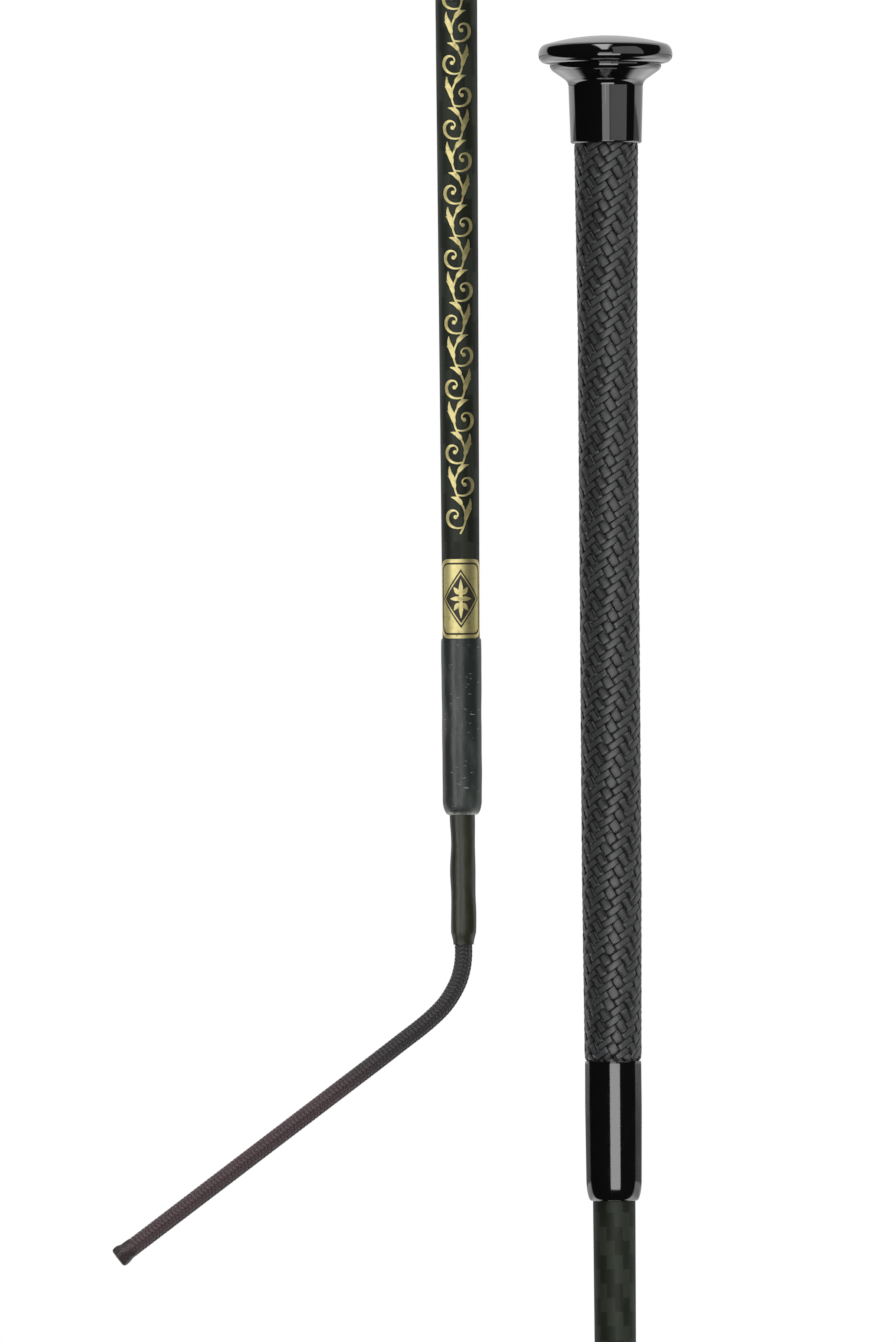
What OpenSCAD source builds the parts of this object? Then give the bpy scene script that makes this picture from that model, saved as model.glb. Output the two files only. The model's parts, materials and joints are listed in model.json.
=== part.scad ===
// Dressage riding crop: mushroom cap, woven grip, tapered carbon shaft and a short braided lash.
// Millimetres. The whip stands along Z with the cap on top; the origin is the grip's middle.

/* [Whip] */
// Length from the crown of the cap to the end of the tip sleeve
whip_length = 1000; // [900:10:1200]
// Diameter of the shaft under the handle
shaft_d = 10.2; // [9.6:0.1:10.4]
// Diameter of the shaft at its tip
tip_d = 5.1; // [4.8:0.1:5.6]
// Thickness of the woven carbon skin round the core
skin_wall = 0.7; // [0.4:0.05:0.8]

/* [Grip] */
// Length of the woven grip between the collar and the ferrule
grip_length = 220; // [180:5:260]
// Diameter of the grip along its parallel middle
grip_d = 14.4; // [14:0.1:15.2]
// Length of that parallel middle
grip_parallel = 130; // [80:5:160]
// Diameter of the grip where it meets the collar
grip_top_d = 15.4; // [15:0.1:16.4]
// Diameter of the grip where it meets the ferrule
grip_foot_d = 13.7; // [13.2:0.1:14.2]
// Thickness of the rubber liner between the shaft and the weave
liner_wall = 0.4; // [0.2:0.05:0.5]

/* [Cap] */
// Diameter of the mushroom head
head_d = 32.2; // [30:0.2:36]
// Slope of the head's shallow dome where it meets the rim, in degrees
dome_tilt = 16.2; // [12:0.2:20]
// Radius of the lower half of the head's rounded rim
rim_r = 2; // [1.8:0.1:2.4]
// Height of the rim's fuller upper half
rim_rise = 2.7; // [2.2:0.1:3.2]
// Height of the collar from the grip to the head
collar_h = 19.2; // [18.4:0.2:24]
// Diameter of the collar's neck under the flare
neck_d = 17.9; // [17.2:0.1:18.6]
// Diameter of the neck where it meets the grip
neck_foot_d = 17.1; // [16.4:0.1:17.4]

/* [Ferrule] */
// Length of the ferrule below the grip
ferrule_h = 33.5; // [28:0.5:40]
// Diameter of the ferrule
ferrule_d = 13.6; // [13.4:0.1:14.2]

/* [Tip] */
// Length of the outer shrink sleeve
tip_sleeve_h = 24.5; // [20:0.5:30]
// Thickness of the outer shrink sleeve
tip_sleeve_wall = 0.2; // [0.15:0.05:0.3]
// Height of the foil label above the sleeve
band_h = 11; // [8:0.5:14]
// Length of the foil ornament above the band
ornament_h = 90; // [60:5:120]
// Width of the foil ornament
ornament_w = 3.4; // [2:0.1:4]
// Thickness of the gold foil
foil = 0.1; // [0.06:0.01:0.15]
// Diameter of the inner shrink sleeve that holds the lash
lash_sleeve_d = 3.5; // [3.3:0.1:3.7]
// Length of that sleeve below the tip
lash_sleeve_h = 18; // [14:0.5:24]

/* [Lash] */
// Diameter of the braided lash
lash_d = 2.5; // [2:0.1:2.8]
// Diameter of its sealed end
lash_end_d = 2.9; // [2.8:0.1:3.2]
// Length of its sealed end
lash_end_h = 2.4; // [2:0.1:3]

/* [Hidden] */

round_fn = 96;      // facets of a preview circle; the solids are true rounds
arc_steps = 14;     // chords along each rounded stretch of an outline
lash_sides = 8;     // sides of the lash's plain tube

// Heights along the whip
grip_top = grip_length/2;
grip_foot = -grip_length/2;
collar_top = grip_top + collar_h;
ferrule_foot = grip_foot - ferrule_h;

// Head: a rim that runs smoothly into the dome
rim_c = head_d/2 - rim_r;                       // radius of the circle of rim centres
rim_turn = atan(rim_rise/rim_r/tan(dome_tilt)); // turn of the rim's upper half where it meets the dome
dome_r = (rim_c + rim_r*cos(rim_turn))/sin(dome_tilt);
rim_z = collar_top + rim_r;
crown_z = rim_z + rim_rise*sin(rim_turn) + dome_r*(1 - cos(dome_tilt));
tip_end = crown_z - whip_length;

// Spigot of the head, the stud in it and the weight round it
spigot_r = 5.5;
spigot_h = 6;
stud_r = 2.5;
stud_in_head = 9;
stud_in_core = 12;
ring_r = 7.8;
ring_h = 4.5;

// Collar: a round bead, a slope and a hollow fillet into the neck
bead_r = 1.9;
bead_top_r = 13.4;
bead_drop = 0.3;                                // from the head down to the bead's widest line
bead_turn = 55;                                 // degrees from the bead's widest line to its slope
fillet_r = 2.2;
neck_edge = 0.5;                                // rounding of the neck's lower edge

// Socket in the collar for the top of the handle
socket_h = 8.5;
socket_r = 7.4;
braid_tuck = 4;                                 // length of weave tucked into the collar
shaft_top = grip_top + socket_h;

// Lower end of the grip inside the ferrule
ferrule_bore_r = 6.2;
braid_foot_tuck = 6;
binding_h = 6;
ferrule_lip = 5.5;                              // height of the ferrule's lip on the shaft
ferrule_bulge = 0.05;                           // the ferrule is this much wider a third of the way down
ferrule_draw = 0.15;                            // and this much narrower above its lip
lip_wall = 0.35;
liner_r = shaft_d/2 + liner_wall;
liner_foot = grip_foot - braid_foot_tuck - binding_h;

// Tip
neck_in = 5.5;                                  // the outer sleeve runs this far past the shaft
shaft_foot = tip_end + neck_in;
sleeve_top = tip_end + tip_sleeve_h;
band_top = sleeve_top + band_h;
ornament_gap = 3.5;                             // bare shaft between the label and the ornament
plug_h = 20;
root_h = 14;                                    // length of the lash's root inside the plug
ornament_foot = band_top + ornament_gap;
core_foot = shaft_foot + plug_h;
root_top = shaft_foot + root_h;
lash_exit = tip_end - lash_sleeve_h;
round_h = 2.2;                                  // height of the sleeve's rounded end
round_in = 0.85;                                // how far that end draws in
sleeve_edge = 0.15;
end_flare = 0.6;                                // the lash's sealed end is widest this far along it
end_edge = 0.3;
cut = 1;                                        // a cutter reaches this far past the face it opens

// Route of the lash from its exit, as [x, z] below the sleeve
lash_route = [[0, 0], [0, -1.5], [-0.2, -3.2], [-0.7, -5], [-1.6, -6.8], [-2.8, -8.5],
              [-4.4, -10.1], [-6.2, -11.6], [-8.2, -13.1], [-12, -16], [-16, -19], [-20, -22],
              [-24, -25], [-28, -28], [-32, -31], [-36, -34], [-40, -37], [-44, -40],
              [-46.4, -41.8]];

// Radius of the shaft: parallel in the handle, then an even taper to the tip
function shaft_r(z) = z >= ferrule_foot ? shaft_d/2
    : shaft_d/2 - (shaft_d - tip_d)/2*(ferrule_foot - z)/(ferrule_foot - shaft_foot);
function core_r(z) = shaft_r(z) - skin_wall;

// Points along an arc about [cx, cz], from angle a to angle b
function arc(cx, cz, r, a, b) =
    [for (i = [0:arc_steps]) let (t = a + (b - a)*i/arc_steps) [cx + r*cos(t), cz + r*sin(t)]];

// Direction of the lash at point i, and its ring of corners there
function route_dir(i) = let (n = len(lash_route) - 1,
    a = lash_route[max(i - 1, 0)], b = lash_route[min(i + 1, n)]) (b - a)/norm(b - a);
function lash_ring(i) = let (p = lash_route[i], d = i == 0 ? [0, -1] : route_dir(i))
    [for (k = [0:lash_sides - 1]) let (t = 360*(k + 0.5)/lash_sides, u = lash_d/2*cos(t))
        [p[0] - u*d[1], lash_d/2*sin(t), lash_exit + p[1] + u*d[0]]];

// A solid turned about the whip's axis from [radius, height] points
module turned(points) rotate_extrude($fn = round_fn) polygon(points);

// A ring with straight walls
module ring(r_out, r_in, z_low, z_high)
    turned([[r_in, z_low], [r_out, z_low], [r_out, z_high], [r_in, z_high]]);

// A sleeve that lies on the tapered shaft
module shaft_wrap(z_low, z_high, wall)
    turned([[shaft_r(z_low), z_low], [shaft_r(z_low) + wall, z_low],
            [shaft_r(z_high) + wall, z_high], [shaft_r(z_high), z_high]]);

// Domed mushroom head with its spigot
module cap_head() color("#0b0b0c") {
    dome = [for (i = [0:arc_steps]) let (t = dome_tilt*i/arc_steps)
        [dome_r*sin(t), crown_z - dome_r + dome_r*cos(t)]];
    upper = [for (i = [1:arc_steps]) let (t = rim_turn*(1 - i/arc_steps))
        [rim_c + rim_r*cos(t), rim_z + rim_rise*sin(t)]];
    lower = arc(rim_c, rim_z, rim_r, 0, -90);
    seat = collar_top - spigot_h;
    turned(concat(dome, upper, [for (i = [1:arc_steps]) lower[i]],
        [[spigot_r, collar_top], [spigot_r, seat], [stud_r, seat],
         [stud_r, seat + stud_in_head], [0, seat + stud_in_head]]));
}

// Flared collar that joins the head to the handle
module cap_collar() color("#101011") {
    bead = arc(bead_top_r - bead_r, collar_top - bead_drop, bead_r, asin(bead_drop/bead_r), -bead_turn);
    slope = [-sin(bead_turn), -cos(bead_turn)];
    start = bead[arc_steps];
    fillet_c = neck_d/2 + fillet_r;
    touch_x = fillet_c - fillet_r*cos(bead_turn);
    run = (start[0] - touch_x)/-slope[0];
    touch_z = start[1] + run*slope[1];
    fillet = arc(fillet_c, touch_z - fillet_r*sin(bead_turn), fillet_r, 180 - bead_turn, 180);
    edge = arc(neck_foot_d/2 - neck_edge, grip_top + neck_edge, neck_edge, 0, -90);
    seat = collar_top - spigot_h;
    turned(concat(bead, fillet, edge,
        [[socket_r, grip_top], [socket_r, shaft_top], [stud_r, shaft_top], [stud_r, seat],
         [spigot_r, seat], [spigot_r, collar_top - ring_h], [ring_r, collar_top - ring_h],
         [ring_r, collar_top]]));
}

// Steel stud from the shaft's core into the head
module cap_stud() color("#8c9096")
    turned([[0, shaft_top - stud_in_core], [stud_r, shaft_top - stud_in_core],
            [stud_r, collar_top - spigot_h + stud_in_head], [0, collar_top - spigot_h + stud_in_head]]);

// Weight that balances the whip in the hand
module balance_ring() color("#9a8248")
    ring(ring_r, spigot_r, collar_top - ring_h, collar_top);

// Solid glass-fibre core with a hole for the stud
module shaft_core() color("#c9c6a4")
    turned([[0, core_foot], [core_r(core_foot), core_foot], [core_r(ferrule_foot), ferrule_foot],
            [core_r(shaft_top), shaft_top], [stud_r, shaft_top],
            [stud_r, shaft_top - stud_in_core], [0, shaft_top - stud_in_core]]);

// Woven carbon skin over the core
module shaft_skin() color("#242a28")
    turned([[core_r(shaft_foot), shaft_foot], [shaft_r(shaft_foot), shaft_foot],
            [shaft_r(ferrule_foot), ferrule_foot], [shaft_r(shaft_top), shaft_top],
            [core_r(shaft_top), shaft_top], [core_r(ferrule_foot), ferrule_foot]]);

// Rubber liner that gives the weave its bed
module grip_liner() color("#2f2d2b") ring(liner_r, shaft_d/2, liner_foot, shaft_top);

// Sleeve of the woven strips, drawn in under the collar and the ferrule
module grip_braid() color("#3c3d3f")
    turned([[liner_r, grip_foot - braid_foot_tuck], [ferrule_bore_r, grip_foot - braid_foot_tuck],
            [ferrule_bore_r, grip_foot], [grip_foot_d/2, grip_foot],
            [grip_d/2, -grip_parallel/2], [grip_d/2, grip_parallel/2],
            [grip_top_d/2, grip_top], [socket_r, grip_top],
            [socket_r, grip_top + braid_tuck], [liner_r, grip_top + braid_tuck]]);

// Waxed thread that ties the weave down inside the collar
module top_binding() color("#5a4a32") ring(socket_r, liner_r, grip_top + braid_tuck, shaft_top);

// Waxed thread that ties the weave down inside the ferrule
module foot_binding() color("#5a4a32")
    ring(ferrule_bore_r, liner_r, liner_foot, grip_foot - braid_foot_tuck);

// Gloss sleeve that closes the handle and rounds in to the shaft
module ferrule() color("#0a0a0a") {
    shoulder = ferrule_foot + ferrule_lip;
    lip_r = shaft_d/2 + lip_wall;
    turned(concat([[ferrule_bore_r, grip_foot], [ferrule_d/2 - ferrule_bulge, grip_foot],
                   [ferrule_d/2, grip_foot - ferrule_h/3]],
        [for (i = [0:arc_steps]) let (t = 90*i/arc_steps)
            [lip_r + (ferrule_d/2 - ferrule_draw - lip_r)*cos(t), shoulder - ferrule_lip*sin(t)]],
        [[shaft_d/2, ferrule_foot], [shaft_d/2, shoulder], [ferrule_bore_r, shoulder]]));
}

// Resin collar that centres the ferrule on the shaft
module ferrule_packing() color("#b49a5a")
    ring(ferrule_bore_r, shaft_d/2, ferrule_foot + ferrule_lip, liner_foot);

// Field of gold foil along one side of the shaft
module gold_ornament() color("#b9a14c") intersection() {
    shaft_wrap(ornament_foot, ornament_foot + ornament_h, foil);
    translate([-ornament_w/2, -shaft_d, ornament_foot])
        cube([ornament_w, shaft_d, ornament_h]);
}

// Gold foil label round the front half of the shaft, just above the tip sleeve
module gold_band() color("#c9b45a") intersection() {
    shaft_wrap(sleeve_top, band_top, foil);
    translate([-shaft_d/2, -shaft_d, sleeve_top]) cube([shaft_d, shaft_d, band_h]);
}

// Outer shrink sleeve, drawn in below the shaft's end onto the lash's own sleeve
module tip_sleeve() color("#27302f") {
    out_top = shaft_r(sleeve_top) + tip_sleeve_wall;
    out_foot = shaft_r(shaft_foot) + tip_sleeve_wall;
    turned(concat([[shaft_r(sleeve_top), sleeve_top], [out_top, sleeve_top]],
        [for (i = [0:arc_steps]) let (t = 90*i/arc_steps)
            [out_foot - round_in*(1 - cos(t)), tip_end + round_h*(1 - sin(t))]],
        [[lash_sleeve_d/2, tip_end], [lash_sleeve_d/2, shaft_foot],
         [shaft_r(shaft_foot), shaft_foot]]));
}

// Plug in the end of the skin that grips the root of the lash
module tip_plug() color("#7d7a70") difference() {
    turned([[0, shaft_foot], [core_r(shaft_foot), shaft_foot],
            [core_r(core_foot), core_foot], [0, core_foot]]);
    translate([0, 0, shaft_foot - cut]) cylinder(r = lash_d/2, h = root_h + cut, $fn = round_fn);
}

// Inner shrink sleeve that stiffens the lash where it leaves the tip
module lash_sleeve() color("#2c2b20")
    turned([[lash_d/2, lash_exit], [lash_sleeve_d/2 - sleeve_edge, lash_exit],
            [lash_sleeve_d/2, lash_exit + 2*sleeve_edge], [lash_sleeve_d/2, shaft_foot],
            [lash_d/2, shaft_foot]]);

// Hidden end of the lash inside the sleeve and the plug
module lash_root() color("#3a2f30")
    translate([0, 0, lash_exit]) cylinder(r = lash_d/2, h = root_top - lash_exit, $fn = round_fn);

// Free part of the lash, swept along its route
module lash() color("#3d2c2e") {
    n = len(lash_route);
    corners = [for (i = [0:n - 1]) each lash_ring(i)];
    sides = [for (i = [0:n - 2], k = [0:lash_sides - 1]) let (m = (k + 1)%lash_sides)
        [i*lash_sides + k, (i + 1)*lash_sides + k, (i + 1)*lash_sides + m, i*lash_sides + m]];
    polyhedron(corners, concat([[for (k = [0:lash_sides - 1]) k]], sides,
        [[for (k = [lash_sides - 1:-1:0]) (n - 1)*lash_sides + k]]));
}

// Flared end where the braid was melted shut
module lash_end() color("#574540") {
    n = len(lash_route) - 1;
    p = lash_route[n];
    d = route_dir(n);
    translate([p[0], 0, lash_exit + p[1]]) rotate([0, atan2(d[0], d[1]), 0])
        turned([[0, 0], [lash_d/2, 0], [lash_end_d/2, lash_end_h*end_flare],
                [lash_end_d/2 - end_edge, lash_end_h], [0, lash_end_h]]);
}

cap_head();
cap_collar();
cap_stud();
balance_ring();
shaft_core();
shaft_skin();
grip_liner();
grip_braid();
top_binding();
foot_binding();
ferrule();
ferrule_packing();
gold_ornament();
gold_band();
tip_sleeve();
tip_plug();
lash_sleeve();
lash_root();
lash();
lash_end();
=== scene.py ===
"""Looks of a dressage riding crop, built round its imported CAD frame.

The whip stands along +Z with its mushroom cap on top. It is far longer than the picture is tall, so the
picture shows two ends of it on white: the handle end at its own place and, beside it, the tip end enlarged.
The enlarged tip is a display copy made of stage objects, close to the camera and a few millimetres tall.
It isn't part of the whip: the whip itself is whole, and every piece of it rides on the CAD frame.

Everything is in metres, in the CAD frame: the origin is the middle of the grip, the gold ornament faces -Y
and the lash bends towards -X.
"""

from __future__ import annotations

import functools
import json
import logging
import math
from collections.abc import Callable, Sequence
from dataclasses import dataclass, field
from enum import Enum

import bmesh
import bpy
from mathutils import Matrix, Vector, noise

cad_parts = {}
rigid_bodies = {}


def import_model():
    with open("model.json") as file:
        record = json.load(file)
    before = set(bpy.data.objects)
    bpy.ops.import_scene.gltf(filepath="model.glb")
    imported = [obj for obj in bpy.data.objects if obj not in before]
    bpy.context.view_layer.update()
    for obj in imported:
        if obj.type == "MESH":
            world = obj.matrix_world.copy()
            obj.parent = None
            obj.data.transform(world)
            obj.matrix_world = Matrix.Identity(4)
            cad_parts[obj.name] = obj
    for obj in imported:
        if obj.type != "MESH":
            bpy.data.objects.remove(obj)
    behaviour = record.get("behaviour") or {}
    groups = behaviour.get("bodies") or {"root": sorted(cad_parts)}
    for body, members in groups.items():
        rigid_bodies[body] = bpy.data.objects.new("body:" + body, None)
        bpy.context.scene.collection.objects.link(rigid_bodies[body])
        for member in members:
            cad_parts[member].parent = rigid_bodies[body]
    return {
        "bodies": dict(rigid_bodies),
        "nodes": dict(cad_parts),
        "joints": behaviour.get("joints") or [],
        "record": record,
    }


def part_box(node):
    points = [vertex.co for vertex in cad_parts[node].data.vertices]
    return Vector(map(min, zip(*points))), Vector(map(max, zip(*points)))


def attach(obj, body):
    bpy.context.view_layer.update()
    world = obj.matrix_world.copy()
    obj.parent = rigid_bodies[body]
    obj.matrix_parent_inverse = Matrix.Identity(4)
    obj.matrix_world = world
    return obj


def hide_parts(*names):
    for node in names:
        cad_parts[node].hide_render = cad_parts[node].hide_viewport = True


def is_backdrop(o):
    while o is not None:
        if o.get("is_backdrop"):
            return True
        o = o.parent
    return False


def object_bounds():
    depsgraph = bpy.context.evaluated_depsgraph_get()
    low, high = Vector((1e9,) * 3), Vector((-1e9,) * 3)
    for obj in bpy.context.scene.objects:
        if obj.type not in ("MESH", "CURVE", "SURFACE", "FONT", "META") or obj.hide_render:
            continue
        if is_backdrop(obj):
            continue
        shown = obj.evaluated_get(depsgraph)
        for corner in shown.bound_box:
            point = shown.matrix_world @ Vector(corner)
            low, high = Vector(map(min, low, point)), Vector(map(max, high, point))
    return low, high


LOG = logging.getLogger("riding_crop")
MM = 0.001
TURN = 2 * math.pi
BODY = "root"
STRIP = "strip"  # attribute of a strand: across it, along it and its number
LIFT = "lift"  # attribute of a strand: 1 where it passes over the others, 0 where it passes under
GIRTH = "girth"  # attribute of a path: the outer radius of what is wound round it
SMOOTH_ANGLE = math.radians(38)
MERGE = 1e-6

Number = "float | Field"
Loop = list[Vector]
Outline = list[tuple[float, float]]


class Slot(Enum):
    """The record's material slots, by name."""

    LACQUER = "gloss_lacquer"
    CARBON = "carbon_weave"
    STRIP = "woven_strip"
    THREAD = "waxed_thread"
    FERRULE = "ferrule_gloss"
    GOLD = "gold_foil"
    SHRINK_GREY = "shrink_grey"
    SHRINK_OLIVE = "shrink_olive"
    LASH = "lash_cord"
    SEAL = "lash_seal"


class Hand(Enum):
    """Which way a strand climbs round its core, seen from outside."""

    RISING = 1.0
    FALLING = -1.0


# ---------------------------------------------------------------- nodes


def add(
    tree: bpy.types.NodeTree,
    kind: str,
    settings: dict[str, object] | None = None,
    inputs: dict[str | int, object] | None = None,
) -> bpy.types.Node:
    """Adds one node, sets its properties and sets or links its inputs.

    Args:
        tree: The node tree that gets the node.
        kind: The node's type name.
        settings: Property names and their values.
        inputs: Socket names or indices, each with a value, a socket or a Field.

    Returns:
        The new node.
    """
    node = tree.nodes.new(kind)
    for name, value in (settings or {}).items():
        setattr(node, name, value)
    for key, value in (inputs or {}).items():
        named = [s for s in node.inputs if s.name == key and s.enabled]
        socket = node.inputs[key] if isinstance(key, int) else named[0]
        source = value.socket if isinstance(value, Field) else value
        if isinstance(source, bpy.types.NodeSocket):
            tree.links.new(source, socket)
        else:
            socket.default_value = source
    return node


@dataclass(frozen=True)
class Field:
    """A number socket that ordinary arithmetic extends with Math nodes."""

    tree: bpy.types.NodeTree
    socket: bpy.types.NodeSocket

    def op(self, operation: str, *others: Number) -> Field:
        """Returns this number and the others put through one Math operation."""
        values = dict(enumerate((self, *others)))
        node = add(self.tree, "ShaderNodeMath", {"operation": operation}, values)
        return Field(self.tree, node.outputs[0])

    def __add__(self, other: Number) -> Field:
        """Returns the sum."""
        return self.op("ADD", other)

    def __sub__(self, other: Number) -> Field:
        """Returns the difference."""
        return self.op("SUBTRACT", other)

    def __mul__(self, other: Number) -> Field:
        """Returns the product."""
        return self.op("MULTIPLY", other)

    def __truediv__(self, other: Number) -> Field:
        """Returns the quotient."""
        return self.op("DIVIDE", other)

    def __neg__(self) -> Field:
        """Returns the number with its sign changed."""
        return self * -1.0

    def __rsub__(self, other: float) -> Field:
        """Returns a plain number less this one."""
        return self * -1.0 + other

    __radd__ = __add__
    __rmul__ = __mul__

    def ramp(self, low: float, high: float) -> Field:
        """Returns a smooth rise from 0 at low to 1 at high."""
        settings = {"interpolation_type": "SMOOTHSTEP"}
        inputs = {"Value": self, "From Min": low, "From Max": high}
        return Field(self.tree, add(self.tree, "ShaderNodeMapRange", settings, inputs).outputs[0])

    def window(self, low: float, high: float, soft: float) -> Field:
        """Returns 1 between low and high and 0 outside, with soft edges."""
        return self.ramp(low - soft, low + soft) * (1.0 - self.ramp(high - soft, high + soft))

    def signed_power(self, exponent: Number) -> Field:
        """Returns the number's size to a power, with its own sign."""
        return self.op("SIGN") * self.op("ABSOLUTE").op("POWER", exponent)


def axes(tree: bpy.types.NodeTree, vector: bpy.types.NodeSocket) -> tuple[Field, Field, Field]:
    """Returns the three components of a vector socket."""
    split = add(tree, "ShaderNodeSeparateXYZ", inputs={0: vector})
    return tuple(Field(tree, socket) for socket in split.outputs)


def linear(colour: str) -> tuple[float, float, float, float]:
    """Turns an sRGB hex colour into linear red, green, blue and alpha."""
    parts = [int(colour[i : i + 2], 16) / 255 for i in (1, 3, 5)]
    return (*(c / 12.92 if c <= 0.04045 else ((c + 0.055) / 1.055) ** 2.4 for c in parts), 1.0)


# ---------------------------------------------------------------- finishes


@dataclass(frozen=True)
class Finish:
    """A surface: what it is made of, how it was made and how light meets it."""

    name: str
    colour: str
    roughness: float
    ior: float = 1.5
    metallic: float = 0.0

    @functools.cache
    def material(self) -> bpy.types.Material:
        """Returns the finish as a Blender material, made once."""
        material = bpy.data.materials.new(self.name)
        material.use_nodes = True
        tree = material.node_tree
        tree.nodes.clear()
        shader = add(
            tree,
            "ShaderNodeBsdfPrincipled",
            inputs={
                "Base Color": linear(self.colour),
                "Roughness": self.roughness,
                "IOR": self.ior,
                "Metallic": self.metallic,
            },
        )
        add(tree, "ShaderNodeOutputMaterial", inputs={"Surface": shader.outputs[0]})
        self.paint(tree, shader)
        return material

    def paint(self, tree: bpy.types.NodeTree, shader: bpy.types.Node) -> None:
        """Adds the finish's own pattern to the shader."""
        raise NotImplementedError

    def place(self, tree: bpy.types.NodeTree) -> bpy.types.NodeSocket:
        """Returns the surface's own coordinates, in millimetres."""
        own = add(tree, "ShaderNodeTexCoord").outputs["Object"]
        scaled = add(tree, "ShaderNodeVectorMath", {"operation": "SCALE"}, {0: own, "Scale": 1 / MM})
        return scaled.outputs[0]

    def around(self, tree: bpy.types.NodeTree) -> tuple[Field, Field]:
        """Returns the turn about the whip's axis, from -0.5 to 0.5, and the height in millimetres."""
        x, y, z = axes(tree, self.place(tree))
        return x.op("ARCTAN2", y * -1.0) / TURN, z

    def grain(
        self,
        tree: bpy.types.NodeTree,
        size: float,
        stretch: tuple[float, float, float] = (1.0, 1.0, 1.0),
        detail: float = 3.0,
        vector: bpy.types.NodeSocket | None = None,
    ) -> Field:
        """Returns a cloudy pattern from 0 to 1.

        Args:
            tree: The material's nodes.
            size: The size of one cloud, in millimetres.
            stretch: How many times longer a cloud is along each axis.
            detail: How many finer layers it has.
            vector: Coordinates in millimetres; the surface's own if left out.
        """
        own = self.place(tree) if vector is None else vector
        scale = tuple(1 / (size * s) for s in stretch)
        placed = add(tree, "ShaderNodeMapping", inputs={"Vector": own, "Scale": scale})
        inputs = {"Vector": placed.outputs[0], "Scale": 1.0, "Detail": detail, "Roughness": 0.6}
        return Field(tree, add(tree, "ShaderNodeTexNoise", inputs=inputs).outputs[0])

    def strand(self, tree: bpy.types.NodeTree) -> tuple[bpy.types.NodeSocket, Field]:
        """Returns a strand's own coordinates in millimetres, and how far it lies on top, from 0 to 1."""
        own = add(tree, "ShaderNodeAttribute", {"attribute_name": STRIP}).outputs["Vector"]
        scaled = add(tree, "ShaderNodeVectorMath", {"operation": "SCALE"}, {0: own, "Scale": 1 / MM})
        lift = add(tree, "ShaderNodeAttribute", {"attribute_name": LIFT}).outputs["Fac"]
        return scaled.outputs[0], Field(tree, lift)

    def tint(
        self, tree: bpy.types.NodeTree, shader: bpy.types.Node, amount: Field, other: str
    ) -> None:
        """Mixes another colour into the base colour.

        Args:
            tree: The material's nodes.
            shader: The shader that takes the colour.
            amount: How much of the other colour, from 0 to 1.
            other: The other colour, as sRGB hex.
        """
        socket = shader.inputs["Base Color"]
        before = socket.links[0].from_socket if socket.is_linked else linear(self.colour)
        mix = add(
            tree,
            "ShaderNodeMix",
            {"data_type": "RGBA"},
            {"Factor": amount.op("MAXIMUM", 0.0).op("MINIMUM", 1.0), "A": before, "B": linear(other)},
        )
        result = next(s for s in mix.outputs if s.enabled)
        tree.links.new(result, socket)

    def relief(
        self, tree: bpy.types.NodeTree, shader: bpy.types.Node, height: Field, depth: float
    ) -> None:
        """Raises the surface by a height from 0 to 1 times a depth in millimetres."""
        bump = add(
            tree, "ShaderNodeBump", inputs={"Height": height, "Distance": depth * MM, "Strength": 1.0}
        )
        tree.links.new(bump.outputs[0], shader.inputs["Normal"])

    def wear(
        self, tree: bpy.types.NodeTree, shader: bpy.types.Node, amount: Field, low: float, high: float
    ) -> None:
        """Lets the roughness run from low to high as an amount goes from 0 to 1."""
        tree.links.new((amount * (high - low) + low).socket, shader.inputs["Roughness"])


@dataclass(frozen=True)
class GlossBlack(Finish):
    """Black moulded plastic, polished and lacquered: mirror-like, with the faintest orange peel."""

    coat: float = 0.6
    peel: float = 0.002

    def paint(self, tree: bpy.types.NodeTree, shader: bpy.types.Node) -> None:
        """Adds the lacquer, its orange peel and light handling marks."""
        shader.inputs["Coat Weight"].default_value = self.coat
        shader.inputs["Coat Roughness"].default_value = 0.02
        marks = self.grain(tree, 2.2, (1.0, 1.0, 3.0))
        self.wear(tree, shader, marks.ramp(0.45, 0.8), self.roughness, self.roughness + 0.09)
        self.relief(tree, shader, self.grain(tree, 1.4, detail=1.0), self.peel)


@dataclass(frozen=True)
class CarbonWeave(Finish):
    """Carbon tows woven two over two under a thin satin resin: faint blocks, dark green-grey."""

    tows: int = 16
    pitch: float = 3.4
    other: str = "#272b24"

    def paint(self, tree: bpy.types.NodeTree, shader: bpy.types.Node) -> None:
        """Draws the twill round the shaft and lays the resin over it."""
        turn, height = self.around(tree)
        # Both counts start well above zero, because the modulo of a negative number is negative
        across = turn * float(self.tows) + 64.0
        along = height / self.pitch + 512.0
        row = along.op("FLOOR")
        column = across.op("FLOOR")
        over = (row + column).op("MODULO", 4.0).op("LESS_THAN", 1.5)
        rise = across.op("FRACT").window(0.0, 1.0, 0.12) * along.op("FRACT").window(0.0, 1.0, 0.06)
        threads = self.grain(tree, 0.25, (1.0, 1.0, 14.0))
        mottle = self.grain(tree, 6.0, (1.0, 1.0, 2.0))
        shade = over * 0.55 + threads * 0.3 + mottle * 0.5 - 0.35
        self.tint(tree, shader, shade, self.other)
        self.relief(tree, shader, rise * 0.6 + threads * 0.4, 0.018)
        self.wear(tree, shader, mottle.ramp(0.3, 0.75), self.roughness, self.roughness + 0.14)


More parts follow.
